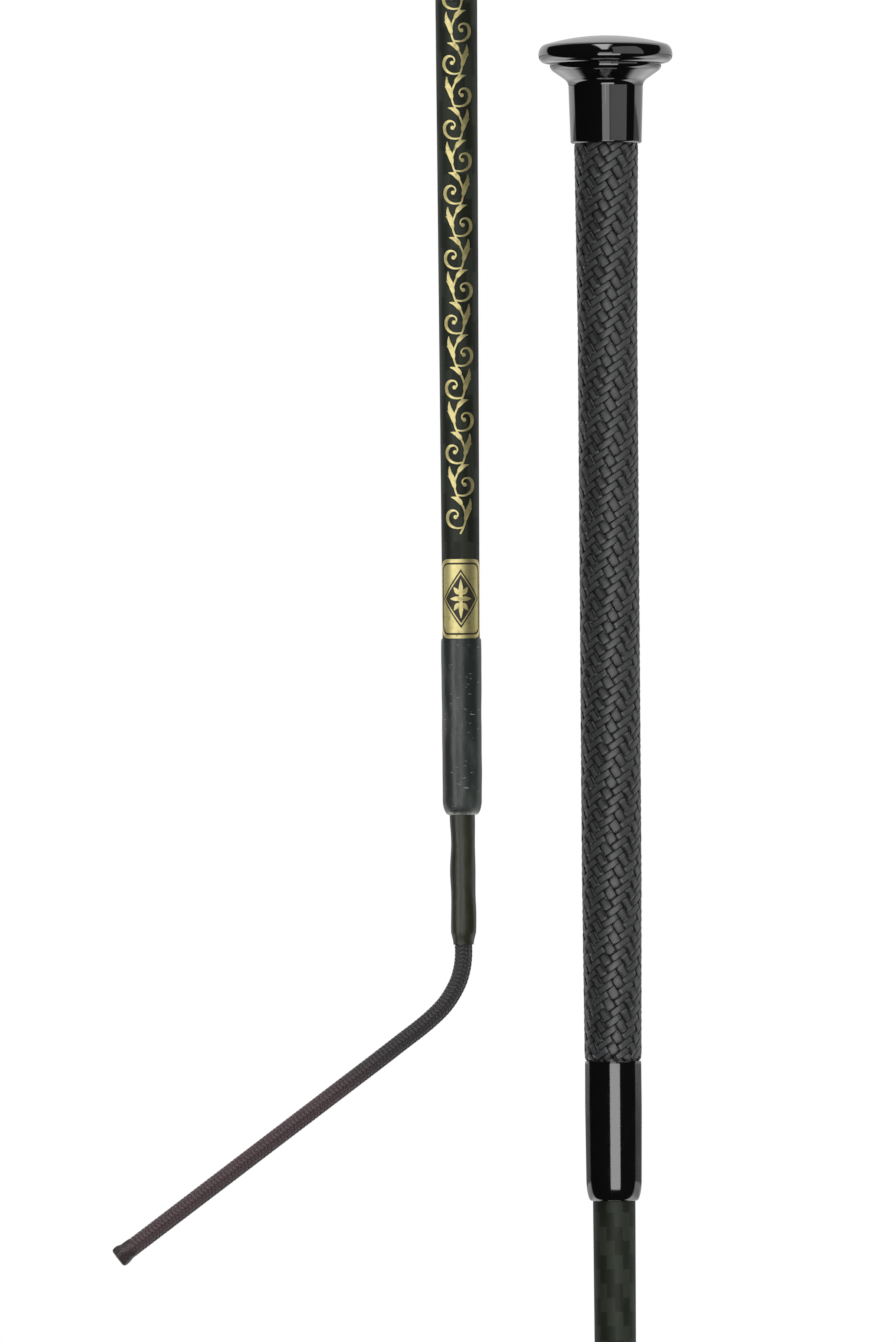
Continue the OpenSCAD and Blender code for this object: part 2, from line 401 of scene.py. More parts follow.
@dataclass(frozen=True)
class WovenStrip(Finish):
    """Flat strips of coated leather: matt charcoal with fine ridges along them, rubbed crowns and painted
    shade off the crowns.
    """

    worn: str = "#434445"
    painted_shade: str = "#070707"
    half_width: float = 1.0

    def paint(self, tree: bpy.types.NodeTree, shader: bpy.types.Node) -> None:
        """Runs the ridges along each strip, rubs its crown lighter and paints shade off the crown."""
        vector, lift = self.strand(tree)
        across = axes(tree, vector)[0] / self.half_width
        ridges = self.grain(tree, 0.16, (1.0, 16.0, 1.0), 2.0, vector)
        pores = self.grain(tree, 0.3, detail=4.0)
        patches = self.grain(tree, 5.0, (1.0, 1.0, 1.5))
        crown = (1.0 - across.op("ABSOLUTE").ramp(0.3, 1.0)) * lift.ramp(0.55, 1.0)
        # painted shade: all but the crown of a strip lying on top is darkened nearly to black, at its edges
        # and where it passes under
        self.tint(tree, shader, (1.0 - crown) * 0.9, self.painted_shade)
        self.tint(tree, shader, crown * (ridges * 0.7 + patches * 0.7 - 0.25), self.worn)
        self.relief(tree, shader, ridges * 0.7 + pores * 0.5, 0.05)
        self.wear(tree, shader, pores * 0.5 + patches * 0.5, self.roughness - 0.1, self.roughness + 0.15)


@dataclass(frozen=True)
class GoldFoil(Finish):
    """Gold foil pressed on with heat: bright pale gold, slightly uneven, with dull worn patches."""

    worn: str = "#7d7136"

    def paint(self, tree: bpy.types.NodeTree, shader: bpy.types.Node) -> None:
        """Dulls the foil in patches and wrinkles it finely."""
        patches = self.grain(tree, 0.9)
        self.tint(tree, shader, patches.ramp(0.5, 0.85) * 0.7, self.worn)
        self.wear(tree, shader, patches, self.roughness - 0.08, self.roughness + 0.2)
        self.relief(tree, shader, self.grain(tree, 0.35), 0.012)


@dataclass(frozen=True)
class ShrinkSleeve(Finish):
    """Polyolefin sleeve shrunk on with heat: satin, softly lumpy, with fine scratches."""

    pale: str = "#6b6f6a"
    scored: str = "#a9aaa5"
    seam_dark: str = "#0d0f0f"
    stressed: str = "#9a9c98"
    scratches: float = 0.0
    rim_height: float = -1e4

    def paint(self, tree: bpy.types.NodeTree, shader: bpy.types.Node) -> None:
        """Adds haze, lumps, lengthwise scratches and a stress-whitened rim."""
        haze = self.grain(tree, 3.0, (1.0, 1.0, 2.5))
        fine = self.grain(tree, 0.12, (1.0, 1.0, 12.0))
        turn, height = self.around(tree)
        self.tint(tree, shader, haze.ramp(0.45, 0.9) * 0.35, self.pale)
        score = self.grain(tree, 0.2, (5.0, 5.0, 0.7), 1.0).ramp(0.7, 0.78) * self.scratches
        self.tint(tree, shader, score * 0.45, self.scored)
        seam = turn.window(0.006, 0.014, 0.003) * self.grain(tree, 1.1, (1.0, 1.0, 3.0)).ramp(0.45, 0.6)
        self.tint(tree, shader, seam * self.scratches * 0.8, self.seam_dark)
        rim = 1.0 - height.ramp(self.rim_height, self.rim_height + 0.55)
        self.tint(tree, shader, rim * self.grain(tree, 0.5).ramp(0.3, 0.6) * 0.8, self.stressed)
        self.relief(tree, shader, haze * 0.8 + fine * 0.1 - score * 0.2, 0.12)
        self.wear(tree, shader, haze * 0.6 + fine * 0.4, self.roughness - 0.08, self.roughness + 0.16)


@dataclass(frozen=True)
class BraidYarn(Finish):
    """Fine polyester yarn: dark brown with a purple cast, darker in the bend, fuzzy and matt, with painted
    shade where a strand passes under and a painted highlight where it lies on top.
    """

    pale: str = "#453538"
    soot: str = "#1e1f1f"
    painted_under_shade: str = "#0c090a"
    dark_above: float = 0.0

    def paint(self, tree: bpy.types.NodeTree, shader: bpy.types.Node) -> None:
        """Runs filaments along each strand, darkens the part by the sleeve and paints shade where it passes
        under and a highlight where it lies on top.
        """
        vector, lift = self.strand(tree)
        filaments = self.grain(tree, 0.05, (1.0, 10.0, 1.0), 2.0, vector)
        patches = self.grain(tree, 1.6)
        height = axes(tree, self.place(tree))[2]
        # random tone from filaments and patches, and a painted highlight where the strand lies on top
        self.tint(tree, shader, filaments * 0.5 + patches * 0.4 + lift * 0.4 - 0.3, self.pale)
        self.tint(tree, shader, height.ramp(self.dark_above - 7.0, self.dark_above + 3.0) * 0.85, self.soot)
        # painted shade where the strand passes under the others
        self.tint(tree, shader, (1.0 - lift.ramp(0.2, 0.75)) * 0.8, self.painted_under_shade)
        self.relief(tree, shader, filaments, 0.012)
        shader.inputs["Sheen Weight"].default_value = 0.25
        shader.inputs["Sheen Roughness"].default_value = 0.4


@dataclass(frozen=True)
class MeltedBraid(Finish):
    """Braid melted shut with a flame: paler brown, waxy, with soot in the folds."""

    soot: str = "#2a2222"

    def paint(self, tree: bpy.types.NodeTree, shader: bpy.types.Node) -> None:
        """Adds soot, folds and a waxy unevenness."""
        folds = self.grain(tree, 0.45)
        self.tint(tree, shader, folds.ramp(0.5, 0.8) * 0.7, self.soot)
        self.relief(tree, shader, folds, 0.08)
        self.wear(tree, shader, folds, self.roughness - 0.1, self.roughness + 0.15)


@dataclass(frozen=True)
class TurnedMetal(Finish):
    """Metal turned on a lathe: fine rings round the axis and a soft gleam."""

    ring: float = 0.12

    def paint(self, tree: bpy.types.NodeTree, shader: bpy.types.Node) -> None:
        """Cuts the tool's rings."""
        rings = self.grain(tree, self.ring, (60.0, 60.0, 1.0), 2.0)
        self.relief(tree, shader, rings, 0.01)
        self.wear(tree, shader, rings, self.roughness - 0.08, self.roughness + 0.12)


@dataclass(frozen=True)
class PlainStock(Finish):
    """Cast, drawn or moulded stock that the whip hides: an even colour with its own fine grain."""

    other: str = "#808080"
    size: float = 0.5
    stretch: tuple[float, float, float] = (1.0, 1.0, 1.0)
    depth: float = 0.03

    def paint(self, tree: bpy.types.NodeTree, shader: bpy.types.Node) -> None:
        """Adds the stock's grain to its colour, its relief and its gloss."""
        cloud = self.grain(tree, self.size, self.stretch)
        self.tint(tree, shader, cloud.ramp(0.35, 0.8) * 0.6, self.other)
        self.relief(tree, shader, cloud, self.depth)
        self.wear(tree, shader, cloud, self.roughness - 0.05, self.roughness + 0.12)


# ---------------------------------------------------------------- meshes


def finished(name: str, mesh: bpy.types.Mesh, finish: Finish) -> bpy.types.Object:
    """Makes a scene object of a mesh, smooth but for its sharp edges.

    Args:
        name: The piece's name.
        mesh: Its mesh, already in place.
        finish: The finish it wears.

    Returns:
        The object, at the origin.
    """
    mesh.name = name
    mesh.materials.clear()
    mesh.materials.append(finish.material())
    mesh.shade_smooth()
    mesh.set_sharp_from_angle(angle=SMOOTH_ANGLE)
    made = bpy.data.objects.new(name, mesh)
    bpy.context.collection.objects.link(made)
    return made


def outward(mesh: bpy.types.Mesh) -> None:
    """Merges the doubles of a closed mesh and turns its faces outwards."""
    shape = bmesh.new()
    shape.from_mesh(mesh)
    bmesh.ops.remove_doubles(shape, verts=shape.verts, dist=MERGE)
    bmesh.ops.recalc_face_normals(shape, faces=shape.faces)
    shape.to_mesh(mesh)
    shape.free()


def skinned(loops: Sequence[Loop], closed: bool = False) -> bpy.types.Mesh:
    """Makes a mesh through loops of points, one after the other.

    Args:
        loops: Loops of equally many points. A loop of one point is a pole.
        closed: Whether the last loop joins the first.

    Returns:
        A mesh with its faces turned outwards.
    """
    points: list[Vector] = []
    starts: list[int] = []
    for loop in loops:
        starts.append(len(points))
        points.extend(loop)
    faces: list[tuple[int, ...]] = []
    pairs = len(loops) if closed else len(loops) - 1
    for i in range(pairs):
        j = (i + 1) % len(loops)
        near, far = len(loops[i]), len(loops[j])
        for k in range(max(near, far)):
            m = (k + 1) % max(near, far)
            ring = [starts[i] + k % near, starts[i] + m % near, starts[j] + m % far, starts[j] + k % far]
            faces.append(tuple(dict.fromkeys(ring)))
    mesh = bpy.data.meshes.new("skinned")
    mesh.from_pydata(points, [], [f for f in faces if len(f) > 2])
    outward(mesh)
    return mesh


def arc(
    centre: tuple[float, float], radius: float, start: float, end: float, steps: int = 20
) -> Outline:
    """Returns points along an arc, from one angle in degrees to another."""
    turns = [math.radians(start + (end - start) * i / steps) for i in range(steps + 1)]
    return [(centre[0] + radius * math.cos(t), centre[1] + radius * math.sin(t)) for t in turns]


def turned(
    outline: Outline,
    sides: int = 96,
    closed: bool = False,
    lumps: Callable[[Vector], float] | None = None,
) -> bpy.types.Mesh:
    """Turns an outline about the whip's axis.

    Args:
        outline: Points of radius and height. A radius of 0 makes a pole.
        sides: The number of points round the axis.
        closed: Whether the outline's end joins its start.
        lumps: Returns how far the surface stands out at a point, or None.

    Returns:
        The turned mesh.
    """
    loops: list[Loop] = []
    for radius, height in outline:
        if radius < MERGE:
            loops.append([Vector((0.0, 0.0, height))])
            continue
        loop = []
        for k in range(sides):
            way = Vector((math.cos(TURN * k / sides), math.sin(TURN * k / sides), 0.0))
            point = way * radius + Vector((0.0, 0.0, height))
            loop.append(point + way * lumps(point) if lumps else point)
        loops.append(loop)
    return skinned(loops, closed)


def even(corners: Outline, count: int) -> Outline:
    """Returns points spaced evenly along a closed outline."""
    loop = [*corners, corners[0]]
    ends = [0.0]
    for a, b in zip(loop, loop[1:]):
        ends.append(ends[-1] + math.dist(a, b))
    points, i = [], 0
    for k in range(count):
        run = ends[-1] * k / count
        while ends[i + 1] < run:
            i += 1
        share = (run - ends[i]) / max(ends[i + 1] - ends[i], 1e-12)
        points.append(tuple(a + (b - a) * share for a, b in zip(loop[i], loop[i + 1])))
    return points


def circle(width: float, count: int) -> Outline:
    """Returns a circle of a given width."""
    return [(width / 2 * math.cos(TURN * k / count), width / 2 * math.sin(TURN * k / count))
            for k in range(count)]


def rounded(width: float, height: float, radius: float, count: int) -> Outline:
    """Returns a rectangle with rounded corners."""
    corners: Outline = []
    for x, y, start in ((1, 1, 0.0), (-1, 1, 90.0), (-1, -1, 180.0), (1, -1, 270.0)):
        centre = (x * (width / 2 - radius), y * (height / 2 - radius))
        corners += arc(centre, radius, start, start + 90.0, 8)
    return even(corners, count)


def finer(outline: Outline, longest: float) -> Outline:
    """Splits an outline's long stretches so that none is longer than a given length."""
    points = [outline[0]]
    for a, b in zip(outline, outline[1:]):
        parts = max(1, math.ceil(math.dist(a, b) / longest))
        points += [(a[0] + (b[0] - a[0]) * i / parts, a[1] + (b[1] - a[1]) * i / parts)
                   for i in range(1, parts + 1)]
    return points


def joined(name: str, pieces: Sequence[bpy.types.Object]) -> bpy.types.Object:
    """Joins meshes of one finish into the first, under a new name.

    Args:
        name: The joined piece's name.
        pieces: The objects to join; all but the first are removed.

    Returns:
        The first object, which now holds them all.
    """
    shape = bmesh.new()
    for piece in pieces:
        shape.from_mesh(piece.data)
    keep = pieces[0]
    shape.to_mesh(keep.data)
    shape.free()
    for piece in pieces[1:]:
        bpy.data.objects.remove(piece)
    keep.name = keep.data.name = name
    return keep


# ---------------------------------------------------------------- grown pieces


class Grower:
    """A Geometry Nodes tree with named inputs, and the way to grow plain meshes from it."""

    def __init__(self, name: str, sockets: dict[str, str]) -> None:
        """Starts the tree.

        Args:
            name: The tree's name.
            sockets: The name and the kind of each input, after its geometry.
        """
        self.tree = bpy.data.node_groups.new(name, "GeometryNodeTree")
        face = self.tree.interface
        face.new_socket("Geometry", in_out="INPUT", socket_type="NodeSocketGeometry")
        face.new_socket("Geometry", in_out="OUTPUT", socket_type="NodeSocketGeometry")
        self.keys = {
            label: face.new_socket(label, in_out="INPUT", socket_type=kind).identifier
            for label, kind in sockets.items()
        }
        self.inlet = add(self.tree, "NodeGroupInput")

    def value(self, label: str) -> Field:
        """Returns the named input as a number."""
        return Field(self.tree, self.inlet.outputs[label])

    def close(self, geometry: bpy.types.NodeSocket) -> None:
        """Ends the tree: merges seams, realizes instances and sets the material."""
        whole = add(self.tree, "GeometryNodeRealizeInstances", inputs={"Geometry": geometry})
        welded = add(
            self.tree, "GeometryNodeMergeByDistance", inputs={"Geometry": whole.outputs[0], "Distance": MERGE}
        )
        dressed = add(
            self.tree,
            "GeometryNodeSetMaterial",
            inputs={"Geometry": welded.outputs[0], "Material": self.inlet.outputs["Material"]},
        )
        add(self.tree, "NodeGroupOutput", inputs={0: dressed.outputs[0]})

    def grow(
        self, name: str, seed: bpy.types.Mesh, finish: Finish, values: dict[str, float]
    ) -> bpy.types.Object:
        """Runs the tree on a mesh and keeps the result as a plain mesh.

        Args:
            name: The grown piece's name.
            seed: The mesh that the tree starts from.
            finish: The finish of the grown piece.
            values: The tree's inputs, by name.

        Returns:
            The grown piece.
        """
        host = bpy.data.objects.new(f"{name}_seed", seed)
        bpy.context.collection.objects.link(host)
        modifier = host.modifiers.new("grow", "NODES")
        modifier.node_group = self.tree
        for label, value in {**values, "Material": finish.material()}.items():
            modifier[self.keys[label]] = value
        graph = bpy.context.evaluated_depsgraph_get()
        grown = bpy.data.meshes.new_from_object(
            host.evaluated_get(graph), preserve_all_data_layers=True, depsgraph=graph
        )
        host.modifiers.clear()
        bpy.data.objects.remove(host)
        outward(grown)
        return finished(name, grown, finish)


class Strands(Grower):
    """Strands wound round a path, passing over and under those that wind the other way."""

    def __init__(self) -> None:
        """Builds the tree."""
        numbers = ("Lead", "Hand", "Other strands", "Other lead", "Over", "Repeat", "Wave", "Snap", "Width",
                   "Thickness", "Crown", "Squareness")
        counts = ("Strands", "Steps", "Sides")
        sockets = {label: "NodeSocketFloat" for label in numbers}
        sockets |= {label: "NodeSocketInt" for label in counts}
        super().__init__("strands_round_a_path", sockets | {"Material": "NodeSocketMaterial"})
        self.draw()

    def draw(self) -> None:
        """Lays one flat grid for each strand and wraps it round the path."""
        tree, value = self.tree, self.value
        path = add(tree, "GeometryNodeMeshToCurve", inputs={"Mesh": self.inlet.outputs["Geometry"]})
        curve = path.outputs[0]
        sheet = add(
            tree,
            "GeometryNodeMeshGrid",
            inputs={
                "Size X": 1.0,
                "Size Y": 1.0,
                "Vertices X": value("Sides") + 1.0,
                "Vertices Y": value("Steps"),
            },
        )
        roots = add(tree, "GeometryNodeMeshLine", inputs={"Count": value("Strands"), "Offset": (0, 0, 0)})
        index = add(tree, "GeometryNodeInputIndex").outputs[0]
        numbered = self.noted(roots.outputs[0], "number", "FLOAT", index)
        many = add(
            tree,
            "GeometryNodeInstanceOnPoints",
            inputs={"Points": numbered, "Instance": sheet.outputs[0]},
        )
        flat = add(tree, "GeometryNodeRealizeInstances", inputs={"Geometry": many.outputs[0]}).outputs[0]

        place = add(tree, "GeometryNodeInputPosition").outputs[0]
        x, y, _ = axes(tree, place)
        number = self.named("number", "FLOAT")
        around, share = (x + 0.5) * TURN, y + 0.5
        run = share * Field(tree, add(tree, "GeometryNodeCurveLength", inputs={0: curve}).outputs[0])
        turns = number / value("Strands") + value("Hand") * run / value("Lead")
        crossing = number + value("Other strands") * (
            turns + value("Hand") * run / value("Other lead")
        )
        beat = ((crossing - 0.5) / value("Repeat") * TURN).op("COSINE") * value("Snap")
        level = (beat.op("MAXIMUM", -1.0).op("MINIMUM", 1.0) * (math.pi / 2)).op("SINE")

        sample = add(
            tree,
            "GeometryNodeSampleCurve",
            {"data_type": "FLOAT", "mode": "FACTOR"},
            {"Curves": curve, "Value": self.named(GIRTH, "FLOAT"), "Factor": share},
        )
        girth = Field(tree, next(s for s in sample.outputs if s.name == "Value" and s.enabled))
        open_end = y.op("ABSOLUTE").op("LESS_THAN", 0.4999)
        square = value("Squareness")
        wide = around.op("COSINE").signed_power(square) * value("Width") * 0.5 * open_end
        high = around.op("SINE").signed_power(square) * value("Thickness") * 0.5 * open_end
        crowned = high * (1.0 - value("Crown") * around.op("COSINE").op("ABSOLUTE"))
        out = girth - value("Wave") - value("Thickness") * 0.5 + level * value("Over") * value("Wave")
        out = out + crowned
        circle = girth * TURN
        slant = (circle * circle + value("Lead") * value("Lead")).op("SQRT")
        along, about = value("Lead") / slant, circle / slant
        angle = turns * TURN
        sine, cosine = angle.op("SINE"), angle.op("COSINE")

        tangent, normal = sample.outputs["Tangent"], sample.outputs["Normal"]
        third = add(tree, "ShaderNodeVectorMath", {"operation": "CROSS_PRODUCT"}, {0: tangent, 1: normal})
        parts = (
            (normal, cosine * out - sine * along * wide),
            (third.outputs[0], sine * out + cosine * along * wide),
            (tangent, -(value("Hand") * about * wide)),
        )
        point = sample.outputs["Position"]
        for way, size in parts:
            step = add(tree, "ShaderNodeVectorMath", {"operation": "SCALE"}, {0: way, "Scale": size})
            total = add(tree, "ShaderNodeVectorMath", {"operation": "ADD"}, {0: point, 1: step.outputs[0]})
            point = total.outputs[0]
        strip = add(tree, "ShaderNodeCombineXYZ", inputs={0: wide, 1: run / along, 2: number * 3.7})
        noted = self.noted(flat, STRIP, "FLOAT_VECTOR", strip.outputs[0])
        noted = self.noted(noted, LIFT, "FLOAT", level * value("Over") * 0.5 + 0.5)
        bent = add(tree, "GeometryNodeSetPosition", inputs={"Geometry": noted, "Position": point})
        self.close(bent.outputs[0])

    def noted(
        self, geometry: bpy.types.NodeSocket, name: str, kind: str, value: object
    ) -> bpy.types.NodeSocket:
        """Stores a value on each point under a name, and returns the geometry."""
        node = add(
            self.tree,
            "GeometryNodeStoreNamedAttribute",
            {"data_type": kind, "domain": "POINT"},
            {"Geometry": geometry, "Name": name, "Value": value},
        )
        return node.outputs[0]

    def named(self, name: str, kind: str) -> Field:
        """Returns the value stored under a name."""
        node = add(self.tree, "GeometryNodeInputNamedAttribute", {"data_type": kind}, {"Name": name})
        return Field(self.tree, next(s for s in node.outputs if s.name == "Attribute" and s.enabled))


class Wrapper(Grower):
    """Flat motifs in a row, wrapped onto the front of the tapered shaft.

    A motif lies in millimetre-true metres: x runs round the shaft, y up it, and z is 0 under the skin
    and 1 at the motif's own height.
    """

    def __init__(self) -> None:
        """Builds the tree."""
        numbers = ("Pitch", "Foot", "Radius", "Taper", "Sunk", "Raised")
        sockets = {label: "NodeSocketFloat" for label in numbers}
        sockets |= {"Count": "NodeSocketInt", "Material": "NodeSocketMaterial"}
        super().__init__("motifs_round_the_shaft", sockets)
        self.draw()

    def draw(self) -> None:
        """Repeats the motif up the shaft and bends it round."""
        tree, value = self.tree, self.value
        row = add(tree, "GeometryNodeMeshLine", inputs={"Count": value("Count"), "Offset": (0, 0, 0)})
        index = Field(tree, add(tree, "GeometryNodeInputIndex").outputs[0])
        step = add(tree, "ShaderNodeCombineXYZ", inputs={1: index * value("Pitch")})
        spread = add(
            tree, "GeometryNodeSetPosition", inputs={"Geometry": row.outputs[0], "Position": step.outputs[0]}
        )
        many = add(
            tree,
            "GeometryNodeInstanceOnPoints",
            inputs={"Points": spread.outputs[0], "Instance": self.inlet.outputs["Geometry"]},
        )
        flat = add(tree, "GeometryNodeRealizeInstances", inputs={"Geometry": many.outputs[0]})
        x, y, z = axes(tree, add(tree, "GeometryNodeInputPosition").outputs[0])
        skin = value("Radius") + y * value("Taper")
        lift = z * (value("Raised") + value("Sunk")) - value("Sunk")
        angle = x / skin
        out = skin + lift
        point = add(
            tree,
            "ShaderNodeCombineXYZ",
            inputs={0: angle.op("SINE") * out, 1: -(angle.op("COSINE") * out), 2: y + value("Foot")},
        )
        inputs = {"Geometry": flat.outputs[0], "Position": point.outputs[0]}
        bent = add(tree, "GeometryNodeSetPosition", inputs=inputs)
        self.close(bent.outputs[0])


# ---------------------------------------------------------------- the whip


@dataclass(frozen=True)
class Landmarks:
    """Heights and radii of the whip, read from the CAD frame."""

    crown: float
    collar_top: float
    grip_top: float
    grip_foot: float
    ferrule_foot: float
    shaft_foot: float
    shaft_top: float
    shaft_radius: float
    foot_radius: float
    sleeve_top: float
    tip_end: float
    lash_exit: float
    lowest: float

    @classmethod
    def read(cls) -> Landmarks:
        """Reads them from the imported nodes' boxes."""
        skin, tip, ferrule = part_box("shaft_skin"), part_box("tip_sleeve"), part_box("ferrule")
        plug, plug_to_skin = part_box("tip_plug"), 0.6 * MM
        return cls(
            crown=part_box("cap_head")[1][2],
            collar_top=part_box("cap_collar")[1][2],
            grip_top=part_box("cap_collar")[0][2],
            grip_foot=ferrule[1][2],
            ferrule_foot=ferrule[0][2],
            shaft_foot=skin[0][2],
            shaft_top=skin[1][2],
            shaft_radius=skin[1][0],
            foot_radius=plug[1][0] + plug_to_skin,
            sleeve_top=tip[1][2],
            tip_end=tip[0][2],
            lash_exit=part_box("lash_sleeve")[0][2],
            lowest=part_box("lash_end")[0][2],
        )

    def shaft(self, height: float) -> float:
        """Returns the shaft's radius at a height."""
        if height >= self.ferrule_foot:
            return self.shaft_radius
        return self.shaft_radius - self.taper * (self.ferrule_foot - height)

    @property
    def taper(self) -> float:
        """How much the shaft's radius grows for each metre up from the tip."""
        return (self.shaft_radius - self.foot_radius) / (self.ferrule_foot - self.shaft_foot)


def keep(piece: bpy.types.Object, slot: Slot, *nodes: str) -> bpy.types.Object:
    """Rides a finished piece on the whip, in the place of its CAD nodes, and reports it.

    Args:
        piece: The piece, in place.
        slot: Not used.
        nodes: The CAD nodes that it stands for.

    Returns:
        The piece.
    """
    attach(piece, BODY)
    if nodes:
        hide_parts(*nodes)
    triangles = sum(len(face.vertices) - 2 for face in piece.data.polygons)
    LOG.info("%s: %d triangles, for %s", piece.name, triangles, ", ".join(nodes) or "detail")
    return piece


@dataclass
class Cap:
    """The mushroom head and the flared collar under it."""

    marks: Landmarks
    head_radius: float = 16.1 * MM
    dome_tilt: float = 16.2
    rim_radius: float = 2.0 * MM
    rim_rise: float = 2.7 * MM
    bead_radius: float = 1.9 * MM
    bead_reach: float = 13.4 * MM
    bead_drop: float = 0.3 * MM
    bead_turn: float = 55.0
    fillet: float = 2.2 * MM
    neck_radius: float = 8.95 * MM
    foot_radius: float = 8.55 * MM
    edge: float = 0.5 * MM
    spigot: float = 5.5 * MM
    spigot_depth: float = 6.0 * MM
    socket: float = 7.4 * MM
    finish: Finish = field(default=GlossBlack("lacquered_black_cap", "#060607", 0.05))

    def head(self) -> bpy.types.Mesh:
        """Returns the dome, its rolled rim and the spigot under it."""
        centre, foot = self.head_radius - self.rim_radius, self.marks.collar_top
        tilt = math.radians(self.dome_tilt)
        turn = math.atan(self.rim_rise / self.rim_radius / math.tan(tilt))
        reach = (centre + self.rim_radius * math.cos(turn)) / math.sin(tilt)
        dome = arc((0.0, self.marks.crown - reach), reach, 90.0, 90.0 - self.dome_tilt, 24)
        level = foot + self.rim_radius
        upper = [(centre + self.rim_radius * math.cos(t), level + self.rim_rise * math.sin(t))
                 for t in (turn * (1 - i / 20) for i in range(1, 21))]
        lower = arc((centre, level), self.rim_radius, 0.0, -90.0, 18)
        seat = foot - self.spigot_depth
        under = [(self.spigot, foot), (self.spigot, seat), (0.0, seat)]
        return turned([*dome, *upper, *lower[1:], *under], 128)

    def collar(self) -> bpy.types.Mesh:
        """Returns the bead, the flare and the neck, open below for the handle."""
        top, low = self.marks.collar_top, self.marks.grip_top
        turn = math.radians(self.bead_turn)
        rise = math.degrees(math.asin(self.bead_drop / self.bead_radius))
        middle = (self.bead_reach - self.bead_radius, top - self.bead_drop)
        bead = arc(middle, self.bead_radius, rise, -self.bead_turn, 24)
        hollow = self.neck_radius + self.fillet
        touch = hollow - self.fillet * math.cos(turn)
        drop = (bead[-1][0] - touch) / math.sin(turn) * math.cos(turn)
        centre = (hollow, bead[-1][1] - drop - self.fillet * math.sin(turn))
        flare = arc(centre, self.fillet, 180.0 - self.bead_turn, 180.0, 16)
        foot = arc((self.foot_radius - self.edge, low + self.edge), self.edge, 0.0, -90.0, 8)
        inside = [(self.socket, low), (self.socket, self.marks.shaft_top), (self.spigot, top)]
        return turned([*bead, *flare, *foot, *inside], 128, closed=True)

    def build(self) -> None:
        """Makes the cap's two pieces."""
        keep(finished("mushroom_head", self.head(), self.finish), Slot.LACQUER, "cap_head")
        keep(finished("flared_collar", self.collar(), self.finish), Slot.LACQUER, "cap_collar")


def path_mesh(points: Sequence[Vector], girths: Sequence[float]) -> bpy.types.Mesh:
    """Makes a line of points that carries the outer radius of what is wound round it."""
    mesh = bpy.data.meshes.new("path")
    mesh.from_pydata(points, [(i, i + 1) for i in range(len(points) - 1)], [])
    girth = mesh.attributes.new(GIRTH, "FLOAT", "POINT")
    girth.data.foreach_set("value", girths)
    return mesh


@dataclass
class Grip:
    """The woven grip: two sets of flat strips that cross two over two."""

    marks: Landmarks
    strands: Strands
    strips: int = 16
    rising_lead: float = 30.0 * MM
    falling_lead: float = 73.0 * MM
    rising_width: float = 1.6 * MM
    falling_width: float = 2.44 * MM
    thickness: float = 0.6 * MM
    wave: float = 0.26 * MM
    middle: float = 7.2 * MM
    top: float = 7.7 * MM
    foot: float = 6.85 * MM
    half_parallel: float = 65.0 * MM
    tucked_top: float = 7.35 * MM
    tucked_foot: float = 6.15 * MM
    tuck: float = 1.6 * MM
    draw_in: float = 0.45 * MM
    finish: Finish = field(default=WovenStrip("coated_leather_strip", "#161617", 0.34))

    def radius(self, height: float) -> float:
        """Returns the weave's outer radius at a height."""
        up = max(0.0, (height - self.half_parallel) / (self.marks.grip_top - self.half_parallel))
        down = max(0.0, (-self.half_parallel - height) / (-self.half_parallel - self.marks.grip_foot))
        bare = self.middle
        bare += (self.top - self.middle) * min(up, 1.0) + (self.foot - self.middle) * min(down, 1.0)
        if height > self.marks.grip_top - self.draw_in:
            return min(bare, self.tucked_top)
        if height < self.marks.grip_foot + self.draw_in:
            return min(bare, self.tucked_foot)
        return bare

    def path(self) -> bpy.types.Mesh:
        """Returns the grip's middle line, with the weave's radius on it."""
        low, high = self.marks.grip_foot - self.tuck, self.marks.grip_top + self.tuck
        count = round((high - low) / (0.5 * MM))
        heights = [low + (high - low) * i / count for i in range(count + 1)]
        return path_mesh([Vector((0.0, 0.0, z)) for z in heights], [self.radius(z) for z in heights])

    def build(self) -> None:
        """Weaves the two sets of strips."""
        shared = {
            "Strands": self.strips,
            "Other strands": float(self.strips),
            "Repeat": 4.0,
            "Wave": self.wave,
            "Snap": 2.6,
            "Thickness": self.thickness,
            "Crown": 0.28,
            "Squareness": 0.5,
            "Sides": 8,
        }
        leads = {Hand.RISING: self.rising_lead, Hand.FALLING: self.falling_lead}
        sets = (
            ("weave_rising", Hand.RISING, Hand.FALLING, self.rising_width, 700),
            ("weave_falling", Hand.FALLING, Hand.RISING, self.falling_width, 600),
        )
        for name, hand, other, width, steps in sets:
            values = {"Lead": leads[hand], "Other lead": leads[other], "Hand": hand.value,
                      "Over": hand.value, "Width": width, "Steps": steps}
            piece = self.strands.grow(name, self.path(), self.finish, shared | values)
            keep(piece, Slot.STRIP, "grip_braid")


